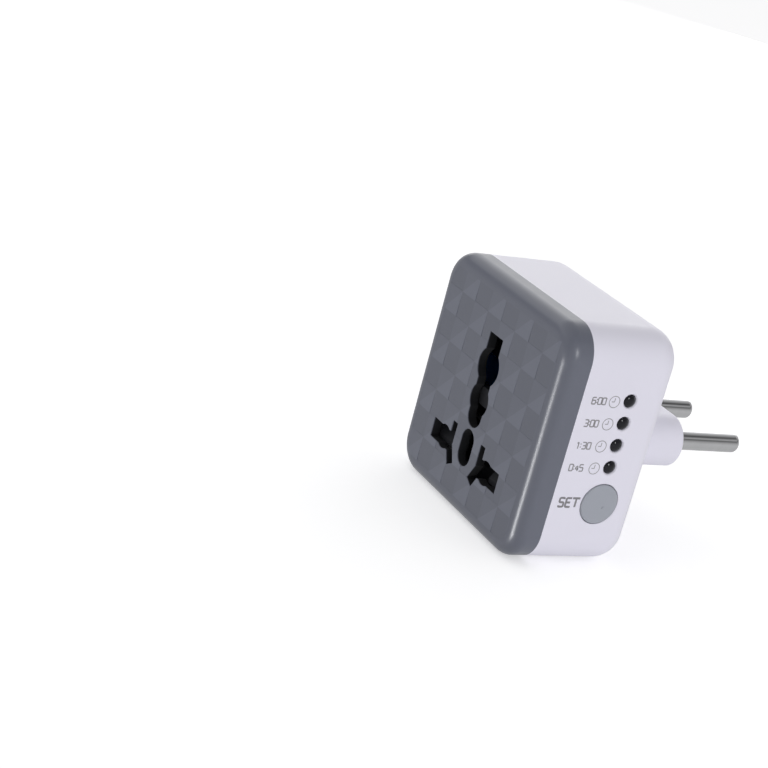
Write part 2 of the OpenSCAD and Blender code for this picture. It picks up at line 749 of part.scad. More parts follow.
module carrier_screws() color("silver") seat() at_ears() difference() {
    union() {
        rod_y(small_screw_r, panel_t + 1, carrier_front + carrier_ear_t + 0.5);
        rod_y(small_head_r, carrier_front + carrier_ear_t, carrier_front + carrier_ear_t + small_head_t);
    }
    translate([0, carrier_front + carrier_ear_t + small_head_t, 0]) cross_recess(2.2, 0.7);
}

// Sliding shutter: a bar with two legs, and on each leg a ramp that a plug's pin pushes down.
module safety_shutter() color([0.24, 0.25, 0.28]) seat() {
    block([-shutter_half_w, shutter_half_w], [shutter_front, shutter_front + shutter_bar_t],
          [shutter_bar_low, shutter_bar_top]);
    both_sides() {
        block([shutter_half_w - shutter_leg_t, shutter_half_w], [shutter_front, shutter_back],
              [block_low, shutter_bar_top]);
        along_x(block_inner, shutter_half_w)
            polygon([[shutter_front, block_low], [shutter_back, block_low], [shutter_back, block_top],
                     [shutter_back - 0.9, block_top], [shutter_front, block_low + 1.1]]);
    }
}

function coil_point(a, r, turns, h) = [r * cos(a), r * sin(a), h * a / (360 * turns)];

// Coil spring of round wire from z = 0 to z = h, outer radius r.
module coil_spring(r, wire_r, turns, h) {
    sides = 6;
    steps = 14 * turns;
    lift = h - 2 * wire_r;
    rings = [for (i = [0 : steps])
        let (a = 360 * turns * i / steps, c = coil_point(a, r - wire_r, turns, lift))
            for (j = [0 : sides - 1])
                let (b = 360 * j / sides)
                    c + wire_r * [cos(b) * cos(a), cos(b) * sin(a), sin(b) + 1]];
    skin = [for (i = [0 : steps - 1], j = [0 : sides - 1])
        let (k = (j + 1) % sides)
            [i * sides + j, i * sides + k, (i + 1) * sides + k, (i + 1) * sides + j]];
    ends = [[for (j = [sides - 1 : -1 : 0]) j], [for (j = [0 : sides - 1]) steps * sides + j]];
    polyhedron(rings, concat(skin, ends));
}

module shutter_springs() color("silver") seat() both_sides()
    translate([spring_x, spring_y, spring_seat_z + seat_gap])
        coil_spring(spring_d / 2, spring_wire_d / 2, spring_turns,
                    block_low - spring_seat_z - 2 * seat_gap);

// ---------------------------------------------------------------- button, switch and lamps

module at_button() seat() translate([0, control_y, button_z]) children();

module set_button() color([0.6, 0.63, 0.66]) at_button() difference() {
    turned_x() button_profile();
    translate([0, gate_mark[0], gate_mark[1]]) rod_x(gate_mark_r, button_face - 0.1, button_face + 1);
}

module button_profile() {
    r = button_d / 2;
    edge = 0.35;
    translate([0, flange_in_x - 0.2]) square([r, button_face - edge - flange_in_x + 0.2]);
    translate([0, button_face - edge - 0.1]) square([r - edge, edge + 0.1]);
    translate([r - edge, button_face - edge]) intersection() {
        circle(edge);
        square(edge);
    }
    translate([0, flange_in_x - button_flange_t]) square([button_flange_r, button_flange_t]);
    translate([0, plunger_top_x + seat_gap]) square([button_stem_r, 1]);
}

module tact_switch_body() color([0.12, 0.12, 0.13]) at_button() difference() {
    half = [-tact_w / 2, tact_w / 2];
    union() {
        block([control_board_x, tact_top_x], half, half);
        for (s = [-1, 1]) translate([control_board_x, -tact_leg_reach, s * 2.2 - tact_leg_w / 2])
            cube([0.3, 2 * tact_leg_reach, tact_leg_w]);
    }
    rod_x(plunger_r + 0.1, tact_top_x - plunger_sink, tact_top_x + 1);
}

module tact_plunger() color([0.2, 0.2, 0.21]) at_button()
    rod_x(plunger_r, tact_top_x - plunger_sink + button_travel + 0.15, plunger_top_x);

module lamp(i) color([0.12, 0.12, 0.14]) seat() translate([0, control_y, lamp_z[i]]) {
    rod_x(lamp_flange_r, lamp_base_x, lamp_base_x + 0.8);
    rod_x(lamp_r, lamp_base_x, lamp_tip_x - lamp_r);
    translate([lamp_tip_x - lamp_r, 0, 0]) turned_x() intersection() {
        circle(lamp_r);
        square([lamp_r, lamp_r]);
    }
}

module led_1() lamp(0);
module led_2() lamp(1);
module led_3() lamp(2);
module led_4() lamp(3);

// Spacer under the lamps, bored for their leads.
module led_holder() color([0.1, 0.1, 0.1]) seat() translate([0, control_y, 0]) difference() {
    block([control_board_x, lamp_base_x - seat_gap], [-2, 2],
          [lamp_z[lamp_count - 1] - 1.9, lamp_top + 1.75]);
    for (z = lamp_z, s = [-1, 1]) translate([0, 0, z + s * 0.9])
        rod_x(0.35, control_board_x - 1, lamp_base_x + 1);
}

module control_pcb() color([0.1, 0.35, 0.2]) seat()
    block([control_board_back_x, control_board_x - seat_gap], [control_board_front_y, control_board_rear_y],
          [-control_board_half, control_board_half]);

module controller_chip() color([0.08, 0.08, 0.09]) seat() translate([control_board_x, control_y - 6, 5]) {
    block([0.1, 1.5], [-1.95, 1.95], [-2.45, 2.45]);
    for (i = [-1.5 : 1 : 1.5], s = [0, 1]) mirror([0, s, 0]) translate([0, 0, i * 1.27])
        along_z(-0.2, 0.2) bent_strip([[0.7, 1.8], [0.7, 2.4], [0.1, 2.6], [0.1, 3.1]], 0.2);
}

module header_pins() color("gold") seat() for (z = header_z)
    block(header_x, [board_front - 3.4, board_back + 0.4], [z - header_side / 2, z + header_side / 2]);

// ---------------------------------------------------------------- power board and what stands on it

module main_pcb() color([0.12, 0.38, 0.22]) seat() difference() {
    along_y(board_front, board_back) difference() {
        square([board_w, board_h], center = true);
        for (sx = [0, 1], sz = [0, 1]) mirror([sx, 0]) mirror([0, sz])
            translate([screw_x, screw_z]) board_notch();
    }
    for (s = [-1, 1]) translate([s * pin_x, 0, pin_z]) rod_y(stub_r + 0.1, board_front - 1, board_back + 1);
    for (p = concat(diode_at, zener_at, bleed_at, fuse_at), x = [0, p[2]])
        translate([p[0] + x, 0, p[1]]) rod_y(lead_r + 0.1, board_front - 1, board_back + 1);
    both_sides() contact_tail(0.15, board_back + 1);
    for (z = header_z)
        block([header_x[0] - 0.1, header_x[1] + 0.1], [board_front - 1, board_back + 1],
              [z - header_side / 2 - 0.1, z + header_side / 2 + 0.1]);
}

// Corner of the board cut away round a screw boss.
module board_notch() {
    r = screw_boss_r + 0.3;
    circle(r);
    translate([0, -r]) square([case_w, case_h]);
    translate([-r, 0]) square([case_w, case_h]);
}

module at_relay() seat() translate([relay_x, 0, 0]) children();

module relay_base() color([0.15, 0.2, 0.35]) at_relay()
    block([-relay_w / 2, relay_w / 2], [relay_inside_y, relay_foot], [-relay_l / 2, relay_l / 2]);

module relay_cover() color([0.2, 0.35, 0.6]) at_relay() difference() {
    half = [relay_w / 2, relay_l / 2];
    inner = half - [relay_wall, relay_wall];
    block([-half[0], half[0]], [relay_top, relay_inside_y - seat_gap], [-half[1], half[1]]);
    block([-inner[0], inner[0]], [relay_top + relay_wall, relay_inside_y], [-inner[1], inner[1]]);
}

module relay_coil() color([0.7, 0.35, 0.15]) at_relay() translate([0, coil_y, 0]) difference() {
    union() {
        translate([0, 0, coil_z0]) cylinder(r = coil_r - 0.35, h = coil_len);
        for (z = [coil_z0, coil_z1 - bobbin_flange_t])
            translate([0, 0, z]) cylinder(r = coil_r, h = bobbin_flange_t);
    }
    translate([0, 0, coil_z0 - 1]) cylinder(r = core_r + slip, h = coil_len + 2);
}

// Iron frame: plate above the coil, leg behind it and the core through it.
module relay_yoke() color([0.55, 0.55, 0.56]) at_relay() {
    leg = coil_z0 - yoke_t - 0.15;
    block([-yoke_w / 2, yoke_w / 2], [yoke_y, yoke_y + yoke_t], [leg, armature_z - 0.06]);
    block([-yoke_w / 2, yoke_w / 2], [yoke_y, coil_y + coil_r], [leg, leg + yoke_t]);
    translate([0, coil_y, leg + 0.2]) cylinder(r = core_r, h = pole_z - leg - 0.2);
}

// Armature plate with the contact spring that it carries.
module relay_armature() color([0.6, 0.6, 0.6]) at_relay() {
    back_z = armature_z + armature_t;
    block([-yoke_w / 2, yoke_w / 2], [yoke_y - 0.2, armature_tip_y], [armature_z, back_z]);
    block([-yoke_w / 4, yoke_w / 4], [contact_y - 1, yoke_y + 1.5], [back_z, back_z + contact_t]);
    translate([0, contact_y, back_z]) cylinder(r = contact_button_r, h = contact_t + contact_button_t);
}

// Fixed contact on its blade, which stands on the base past the armature's end.
module relay_contact() color([0.8, 0.6, 0.35]) at_relay() {
    blade_z = contact_face_z + contact_button_t;
    translate([0, contact_y, contact_face_z]) cylinder(r = contact_button_r, h = contact_button_t + 0.1);
    block([-1.4, 1.4], [contact_y - 1, relay_inside_y - seat_gap], [blade_z, blade_z + 0.4]);
}

module film_capacitor() color([0.85, 0.7, 0.2]) seat() {
    x = -film_size[0] / 2 - 1.2;
    along_y(board_front - film_size[2], board_front - seat_gap)
        translate([x, top_zone_z]) rounded_square(film_size[0], film_size[1], 0.5);
}

module electrolytic_capacitor() color([0.15, 0.2, 0.3]) seat()
    translate([can_x, board_front - seat_gap, top_zone_z]) rotate([90, 0, 0]) rotate_extrude() difference() {
        union() {
            square([can_r - 0.3, can_h]);
            translate([0, 0.3]) square([can_r, can_h - 0.6]);
        }
        translate([can_r, 1.6]) circle(can_groove_r);
    }

// Upright axial parts: body, straight lead and the lead that folds back to the board.
module hairpins(places, r, body_h) seat() for (p = places) translate([p[0], 0, p[1]]) {
    foot = board_front - 1.2;
    fold = foot - body_h - 1.2;
    rod_y(r, foot - body_h, foot);
    translate([0, fold + lead_r, 0]) rod_x(lead_r, 0, p[2]);
    for (x = [0, p[2]]) translate([x, 0, 0]) rod_y(lead_r, fold, board_back + 0.6);
}

module fusible_resistor() color([0.55, 0.65, 0.6]) hairpins(fuse_at, 1.6, 8);

module rectifier_diodes() color([0.1, 0.1, 0.1]) hairpins(diode_at, 1.3, 4.6);

module zener_diode() color([0.75, 0.35, 0.2]) hairpins(zener_at, 0.9, 3.6);

module bleed_resistors() color([0.75, 0.65, 0.5]) hairpins(bleed_at, 1.15, 5.6);

module driver_transistor() color([0.1, 0.1, 0.11]) seat() translate([relay_x, 0, relay_l / 2 + 2.2]) {
    along_y(board_front - 5.6, board_front - 1) intersection() {
        circle(2.3);
        translate([-2.3, -1.5]) square([4.6, 3.6]);
    }
    for (x = [-1.27, 0, 1.27])
        block([x - 0.22, x + 0.22], [board_front - 1.5, board_front - seat_gap], [-0.22, 0.22]);
}

// Dipped disc that stands on its two leads.
module varistor() color([0.2, 0.35, 0.6]) seat()
    translate([relay_x, board_front - varistor_rise, -relay_l / 2 - 2.1]) {
        translate([0, 0, -1.4]) cylinder(r = 3.3, h = 2.8);
        for (s = [-1, 1]) translate([s * 1.8, 0, 0]) rod_y(lead_r, 2, varistor_rise - seat_gap);
    }

// ---------------------------------------------------------------- nodes

front_cover();
rear_housing();
housing_screws();
line_pin();
neutral_pin();
pin_retainer();
retainer_screw();
contact_carrier();
carrier_screws();
line_contact();
neutral_contact();
safety_shutter();
shutter_springs();
set_button();
tact_switch_body();
tact_plunger();
led_1();
led_2();
led_3();
led_4();
led_holder();
control_pcb();
controller_chip();
header_pins();
main_pcb();
relay_base();
relay_cover();
relay_coil();
relay_yoke();
relay_armature();
relay_contact();
film_capacitor();
electrolytic_capacitor();
rectifier_diodes();
zener_diode();
fusible_resistor();
bleed_resistors();
driver_transistor();
varistor();
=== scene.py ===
"""Looks for a plug-in countdown timer: finishes, printed marks, small inner pieces, studio and camera.

The frame holds every real piece at its real size. Lengths in the classes below are millimetres, but for the
studio's, in the frame's directions: X to the right seen from the front, Y back into the wall and Z up.
"""
from __future__ import annotations

import json
import logging
import math
from dataclasses import dataclass
from enum import Enum
from typing import Any, Callable, Iterable, Sequence

import bmesh
import bpy
from mathutils import Matrix, Vector


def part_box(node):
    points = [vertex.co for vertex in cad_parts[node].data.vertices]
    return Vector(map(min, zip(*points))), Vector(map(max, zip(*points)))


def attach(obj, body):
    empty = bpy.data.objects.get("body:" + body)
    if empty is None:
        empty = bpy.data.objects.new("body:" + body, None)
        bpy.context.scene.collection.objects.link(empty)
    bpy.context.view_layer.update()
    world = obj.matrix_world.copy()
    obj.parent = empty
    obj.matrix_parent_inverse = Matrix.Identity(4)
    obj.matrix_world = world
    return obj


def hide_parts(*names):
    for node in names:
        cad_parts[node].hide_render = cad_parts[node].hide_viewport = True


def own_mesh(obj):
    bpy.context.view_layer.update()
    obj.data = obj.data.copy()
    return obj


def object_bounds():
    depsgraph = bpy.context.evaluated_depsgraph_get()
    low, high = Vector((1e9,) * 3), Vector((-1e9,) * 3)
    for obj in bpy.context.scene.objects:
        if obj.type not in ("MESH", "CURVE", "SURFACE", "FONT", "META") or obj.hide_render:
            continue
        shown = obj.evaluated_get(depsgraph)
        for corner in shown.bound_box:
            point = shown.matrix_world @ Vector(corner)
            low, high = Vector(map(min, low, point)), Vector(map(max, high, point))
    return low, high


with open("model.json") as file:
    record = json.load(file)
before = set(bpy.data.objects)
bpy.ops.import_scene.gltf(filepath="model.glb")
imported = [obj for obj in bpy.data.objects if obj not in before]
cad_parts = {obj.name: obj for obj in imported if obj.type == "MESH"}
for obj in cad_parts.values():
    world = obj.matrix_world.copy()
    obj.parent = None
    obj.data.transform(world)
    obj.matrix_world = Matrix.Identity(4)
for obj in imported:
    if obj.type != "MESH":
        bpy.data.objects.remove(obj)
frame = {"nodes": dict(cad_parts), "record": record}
CAD_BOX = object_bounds()

log = logging.getLogger("timer")
MM = 0.001
CASE_BODY = "case"
# The plane of the cover's face, from which the facets rise and sink, and the height of its middle.
FACE_Y = -45.4
FACE_MIDDLE_Z = 2.8
# Vertices closer than this are one: in the frame's meshes (metres) and in new ones (millimetres).
SAME_PLACE_M = 1e-7
SAME_PLACE_MM = 1e-6

Pair = tuple[float, float]
Point = Pair
Triple = tuple[float, float, float]
Colour = Triple
WHITE: Colour = (1.0, 1.0, 1.0)
UNSTRETCHED: Triple = (1.0, 1.0, 1.0)


def rgba(colour: Colour) -> tuple[float, float, float, float]:
    """A colour with full alpha."""
    return (*colour, 1.0)


def scaled(colour: Colour, share: float) -> Colour:
    """A colour made lighter or darker by a share."""
    return (colour[0] * share, colour[1] * share, colour[2] * share)


def way_out(azimuth: float, elevation: float) -> Vector:
    """The direction from the timer at two angles in degrees; azimuth 0 is in front and 90 is on the right."""
    turn, rise = math.radians(azimuth), math.radians(elevation)
    return Vector((math.sin(turn) * math.cos(rise), -math.cos(turn) * math.cos(rise), math.sin(rise)))


# ---- shader graphs


class Sock:
    """An output socket that takes part in arithmetic; each operation adds a Math node."""

    def __init__(self, graph: Graph, socket: bpy.types.NodeSocket) -> None:
        """Keeps the graph, so that results of arithmetic go into it."""
        self.graph = graph
        self.socket = socket

    def _math(self, operation: str, first: Any, second: Any) -> Sock:
        """The result of one Math node."""
        return self.graph.add("ShaderNodeMath", {"operation": operation}, {0: first, 1: second})

    def __add__(self, other: Any) -> Sock:
        """self + other"""
        return self._math("ADD", self, other)

    def __radd__(self, other: Any) -> Sock:
        """other + self"""
        return self._math("ADD", other, self)

    def __sub__(self, other: Any) -> Sock:
        """self - other"""
        return self._math("SUBTRACT", self, other)

    def __rsub__(self, other: Any) -> Sock:
        """other - self"""
        return self._math("SUBTRACT", other, self)

    def __mul__(self, other: Any) -> Sock:
        """self * other"""
        return self._math("MULTIPLY", self, other)

    def __rmul__(self, other: Any) -> Sock:
        """other * self"""
        return self._math("MULTIPLY", other, self)

    def __truediv__(self, other: Any) -> Sock:
        """self / other"""
        return self._math("DIVIDE", self, other)

    def __rtruediv__(self, other: Any) -> Sock:
        """other / self"""
        return self._math("DIVIDE", other, self)

    def __gt__(self, other: Any) -> Sock:
        """1 where self is greater than other, and 0 elsewhere."""
        return self._math("GREATER_THAN", self, other)

    def __lt__(self, other: Any) -> Sock:
        """1 where self is less than other, and 0 elsewhere."""
        return self._math("LESS_THAN", self, other)

    def _alone(self, operation: str) -> Sock:
        """The result of a Math node that takes one value."""
        return self.graph.add("ShaderNodeMath", {"operation": operation}, {0: self})

    def wrapped(self) -> Sock:
        """The part after the decimal point."""
        return self._alone("FRACT")

    def whole(self) -> Sock:
        """The next whole number below."""
        return self._alone("FLOOR")

    def size(self) -> Sock:
        """The value without its sign."""
        return self._alone("ABSOLUTE")

    def clamped(self) -> Sock:
        """The value held between 0 and 1."""
        return self.graph.add("ShaderNodeClamp", None, {"Value": self})


class Graph:
    """The node tree of a material or a world."""

    def __init__(self, owner: bpy.types.Material | bpy.types.World) -> None:
        """Empties the owner's node tree."""
        owner.use_nodes = True
        self.tree = owner.node_tree
        self.tree.nodes.clear()

    def add(self, kind: str, settings: dict[str, Any] | None = None, inputs: dict[Any, Any] | None = None,
            output: int | str = 0) -> Sock:
        """Adds one node.

        Args:
            kind: The node's type name.
            settings: Properties to set first. "stops" holds a colour ramp's (position, colour) pairs.
            inputs: Values or Socks by input name or number.
            output: Name or number of the output that is wanted.

        Returns:
            The wanted output, ready for arithmetic, or None for a node without outputs.
        """
        node = self.tree.nodes.new(kind)
        for name, value in (settings or {}).items():
            if name == "stops":
                self._set_stops(node.color_ramp, value)
            else:
                setattr(node, name, value)
        for name, value in (inputs or {}).items():
            if isinstance(value, Sock):
                self.tree.links.new(value.socket, node.inputs[name])
            else:
                node.inputs[name].default_value = value
        outputs = node.outputs
        return Sock(self, outputs[output]) if len(outputs) else None

    @staticmethod
    def _set_stops(ramp: bpy.types.ColorRamp, stops: Sequence[tuple[float, Colour]]) -> None:
        """Gives a ramp its stops, from left to right."""
        while len(ramp.elements) < len(stops):
            ramp.elements.new(1.0)
        for element, (position, colour) in zip(ramp.elements, stops):
            element.position = position
            element.color = rgba(colour)

    def shades(self, factor: Sock, colour: Colour, start: float, end: float) -> Sock:
        """A colour that goes from one share of itself to another as the factor goes from 0 to 1."""
        first, second = rgba(scaled(colour, start)), rgba(scaled(colour, end))
        return self.add("ShaderNodeMix", {"data_type": "RGBA"}, {0: factor, 6: first, 7: second}, 2)

    def tint(self, colour: Sock, share: Sock) -> Sock:
        """A colour made lighter or darker by a share that changes over the surface."""
        settings = {"operation": "SCALE"}
        return self.add("ShaderNodeVectorMath", settings, {"Vector": colour, "Scale": share})

    def place(self, stretch: Triple = UNSTRETCHED) -> Sock:
        """The point on the piece in metres, stretched along each direction."""
        coords = self.add("ShaderNodeTexCoord", None, None, "Object")
        if stretch == UNSTRETCHED:
            return coords
        return self.add("ShaderNodeMapping", {"vector_type": "POINT"}, {"Vector": coords, "Scale": stretch})

    def axis_mm(self, name: str) -> Sock:
        """The point's X, Y or Z in millimetres."""
        return self.add("ShaderNodeSeparateXYZ", None, {"Vector": self.place()}, name) / MM

    def noise(self, size_mm: float, detail: float = 2.0, stretch: Triple = UNSTRETCHED) -> Sock:
        """Noise whose grains are about size_mm across, from 0 to 1."""
        inputs = {"Vector": self.place(stretch), "Scale": 1 / (size_mm * MM), "Detail": detail}
        return self.add("ShaderNodeTexNoise", None, inputs)

    def bump(self, height: Sock, depth_mm: float, strength: float = 1.0, normal: Sock | None = None) -> Sock:
        """A bump of that depth."""
        inputs = {"Height": height, "Distance": depth_mm * MM, "Strength": strength}
        if normal is not None:
            inputs["Normal"] = normal
        return self.add("ShaderNodeBump", None, inputs)

    def surface(self, **inputs: Any) -> None:
        """Ends a material in a Principled BSDF with these inputs; an underscore stands for a space."""
        named = {name.replace("_", " "): value for name, value in inputs.items()}
        shader = self.add("ShaderNodeBsdfPrincipled", None, named)
        self.add("ShaderNodeOutputMaterial", None, {"Surface": shader})


# ---- finishes


@dataclass(frozen=True)
class Finish:
    """A finish that makes its own material."""

    name: str
    colour: Colour

    def material(self) -> bpy.types.Material:
        """The finish's material, made on first use."""
        found = bpy.data.materials.get(self.name)
        if found is None:
            found = bpy.data.materials.new(self.name)
            self.build(Graph(found))
            found.diffuse_color = rgba(self.colour)
        return found

    def build(self, graph: Graph) -> None:
        """Adds the finish's nodes to an empty graph."""
        raise NotImplementedError


@dataclass(frozen=True)
class Moulding(Finish):
    """Injection-moulded plastic with a spark-eroded grain, faint flow marks and rub marks from handling."""

    roughness: float = 0.42
    grain_mm: float = 0.16
    grain_depth_mm: float = 0.006
    grain_strength: float = 0.6
    speck_grains: float = 3.0
    mottle: float = 0.03
    flow_mm: float = 9.0
    flow_share: float = 0.7
    wave_mm: float = 0.02
    wave_strength: float = 0.25
    rub: float = 0.05
    rub_mm: float = 2.6
    rub_stretch: Triple = (1.0, 0.35, 1.0)
    coat: float = 0.0
    coat_roughness: float = 0.2
    gloss: float = 0.5

    def build(self, graph: Graph) -> None:
        """Colour mottle from flow, roughness from rubbing, and the grain as a bump."""
        flow = graph.noise(self.flow_mm, 3.0)
        speck = graph.noise(self.grain_mm * self.speck_grains, 1.0)
        tone = flow * self.flow_share + speck * (1 - self.flow_share)
        colour = graph.shades(tone, self.colour, 1 - self.mottle, 1 + self.mottle)
        colour = self.toned(graph, colour)
        rubbed = graph.noise(self.rub_mm, 4.0, self.rub_stretch)
        roughness = self.dulled(graph, self.roughness + (rubbed - 0.5) * self.rub * 2)
        grain = graph.bump(graph.noise(self.grain_mm, 2.0), self.grain_depth_mm, self.grain_strength)
        sink = graph.bump(flow, self.wave_mm, self.wave_strength, grain)
        graph.surface(Base_Color=colour, Roughness=roughness, Normal=sink, Coat_Weight=self.coat,
                      Coat_Roughness=self.coat_roughness, Specular_IOR_Level=self.gloss)

    def toned(self, graph: Graph, colour: Sock) -> Sock:
        """The colour after what changes it from place to place."""
        return colour

    def dulled(self, graph: Graph, roughness: Sock) -> Sock:
        """The roughness after what changes it from place to place."""
        return roughness


@dataclass(frozen=True)
class FacetedMoulding(Moulding):
    """The cover's plastic: three kinds of facet with painted shading for their tilts, and painted shade on
    the matt walls of the apertures.
    """

    pitch: float = 5.85
    level: float = 0.6
    half: float = 22.8
    # Painted shading for the lighter triangle, the plain triangle and the darker cell, standing in for how
    # light falls on their tilts.
    facet_painted_shading: Triple = (1.17, 1.03, 0.95)
    # The share of colour left on the aperture walls under painted shade.
    wall_painted_shade: float = 0.05
    wall_depths: Pair = (0.08, 0.3)
    wall_reach: float = 19.0
    wall_roughness: float = 0.5

    def toned(self, graph: Graph, colour: Sock) -> Sock:
        """Paints shading on the three kinds of facet for their tilts, then paints shade on the walls of the
        apertures.
        """
        across, upward = self.on_face(graph)
        column, row = across / self.pitch, (upward - self.level) / self.pitch
        # Half of an odd sum has 0.5 after the point, and half of an even sum has 0.
        odd = ((column.whole() + row.whole()) / 2).wrapped() > 0.25
        lower = column.wrapped() > row.wrapped()
        # Painted shading: each kind of facet is made lighter or darker for how light falls on its tilt.
        light, plain, dark = self.facet_painted_shading
        even_facet_shade = plain + lower * (light - plain)
        inside = (across.size() < self.half) * (upward.size() < self.half)
        tone = 1.0 + inside * (even_facet_shade + odd * (dark - even_facet_shade) - 1.0)
        # Painted shade darkens the walls of the apertures.
        return graph.tint(colour, tone * (1.0 - self.walls(graph) * (1.0 - self.wall_painted_shade)))

    def dulled(self, graph: Graph, roughness: Sock) -> Sock:
        """Makes the walls of the apertures matt."""
        return roughness + self.walls(graph) * self.wall_roughness

    def on_face(self, graph: Graph) -> tuple[Sock, Sock]:
        """How far a point lies to the right of the face's middle and above it, in millimetres."""
        return graph.axis_mm("X"), graph.axis_mm("Z") - FACE_MIDDLE_Z

    def walls(self, graph: Graph) -> Sock:
        """1 on the walls of the apertures, which get painted shade and more roughness, and 0 on the outside.
        """
        across, upward = self.on_face(graph)
        near, far = self.wall_depths
        behind = ((graph.axis_mm("Y") - (FACE_Y + near)) / (far - near)).clamped()
        return behind * (across.size() < self.wall_reach) * (upward.size() < self.wall_reach)


@dataclass(frozen=True)
class Plating(Finish):
    """Metal plating with fine drawn lines along one direction."""

    roughness: float = 0.2
    uneven: float = 0.14
    line_mm: float = 0.12
    stretch: Triple = (1.0, 0.03, 1.0)
    line_depth_mm: float = 0.002
    line_strength: float = 0.5
    cloud: float = 0.06
    cloud_mm: float = 2.2
    cloud_roughness: float = 0.06

    def build(self, graph: Graph) -> None:
        """Drawn lines in bump and roughness over a faintly clouded metal."""
        lines = graph.noise(self.line_mm, 3.0, self.stretch)
        clouds = graph.noise(self.cloud_mm, 3.0)
        colour = graph.shades(clouds, self.colour, 1 - self.cloud, 1 + self.cloud)
        roughness = self.roughness + (lines - 0.5) * self.uneven + (clouds - 0.5) * self.cloud_roughness
        graph.surface(Base_Color=colour, Roughness=roughness, Metallic=1.0,
                      Normal=graph.bump(lines, self.line_depth_mm, self.line_strength))


@dataclass(frozen=True)
class Lens(Finish):
    """Dark tinted epoxy of an unlit lamp."""

    roughness: float = 0.12
    haze_mm: float = 0.9
    haze_tones: Pair = (0.6, 1.5)
    haze_roughness: float = 0.06
    ripple_mm: float = 0.5
    ripple_depth_mm: float = 0.002
    gloss: float = 0.35

    def build(self, graph: Graph) -> None:
        """A glossy dome with a slightly lighter haze inside."""
        haze = graph.noise(self.haze_mm, 2.0)
        colour = graph.shades(haze, self.colour, *self.haze_tones)
        ripple = graph.bump(graph.noise(self.ripple_mm, 1.0), self.ripple_depth_mm, 0.3)
        graph.surface(Base_Color=colour, Roughness=self.roughness + haze * self.haze_roughness,
                      Normal=ripple, Specular_IOR_Level=self.gloss)


@dataclass(frozen=True)
class Ink(Finish):
    """Pad-printed ink, a little uneven where it thins."""

    patch_mm: float = 0.35
    tones: Pair = (0.85, 1.25)
    roughness: float = 0.5
    thin_roughness: float = 0.2
    depth_mm: float = 0.002

    def build(self, graph: Graph) -> None:
        """Ink that varies a little in tone and gloss."""
        thin = graph.noise(self.patch_mm, 3.0)
        colour = graph.shades(thin, self.colour, *self.tones)
        graph.surface(Base_Color=colour, Roughness=self.roughness + thin * self.thin_roughness,
                      Normal=graph.bump(thin, self.depth_mm, 0.5))


@dataclass(frozen=True)
class SolderMask(Finish):
    """Solder mask over copper tracks."""

    pitch_mm: float = 1.9
    run_pitches: float = 2.4
    track_mm: float = 0.16
    track_tone: float = 2.1
    track_depth_mm: float = 0.02
    weave_mm: float = 0.4
    weave_depth_mm: float = 0.004
    roughness: float = 0.25
    weave_roughness: float = 0.12

    def build(self, graph: Graph) -> None:
        """Tracks as a lighter brick pattern under a glossy mask."""
        inputs = {"Vector": graph.place(), "Scale": 1.0 / MM, "Mortar Size": self.track_mm,
                  "Brick Width": self.pitch_mm * self.run_pitches, "Row Height": self.pitch_mm,
                  "Mortar Smooth": 0.05}
        tracks = graph.add("ShaderNodeTexBrick", {"offset": 0.37}, inputs, "Fac")
        colour = graph.shades(tracks, self.colour, 1.0, self.track_tone)
        weave = graph.noise(self.weave_mm, 2.0)
        woven = graph.bump(weave, self.weave_depth_mm, 0.4)
        graph.surface(Base_Color=colour, Roughness=self.roughness + weave * self.weave_roughness,
                      Normal=graph.bump(tracks, self.track_depth_mm, 0.6, woven))


@dataclass(frozen=True)
class Winding(Finish):
    """Enamelled copper wire wound in level turns about an upright bobbin."""

    wire_mm: float = 0.16
    groove_painted_shade: float = 0.45
    groove_depth_mm: float = 0.05
    patch_mm: float = 0.6
    roughness: float = 0.32
    uneven: float = 0.1
    metallic: float = 0.85

    def build(self, graph: Graph) -> None:
        """Turns as a rounded wave along Z, which reaches 1 on the crown of each turn; painted shade darkens
        the colour towards the grooves between turns.
        """
        phase = (graph.axis_mm("Z") / self.wire_mm).wrapped()
        crown = 4.0 * (phase * (1.0 - phase))
        # Painted shade: darker towards the grooves between turns.
        colour = graph.shades(crown, self.colour, self.groove_painted_shade, 1.0)
        roughness = self.roughness + graph.noise(self.patch_mm) * self.uneven
        graph.surface(Base_Color=colour, Roughness=roughness, Metallic=self.metallic,
                      Normal=graph.bump(crown, self.groove_depth_mm, 0.8))


COVER_GREY: Colour = (0.138, 0.147, 0.184)
HOUSING_WHITE: Colour = (0.80, 0.785, 0.885)
BUTTON_GREY: Colour = (0.355, 0.373, 0.422)


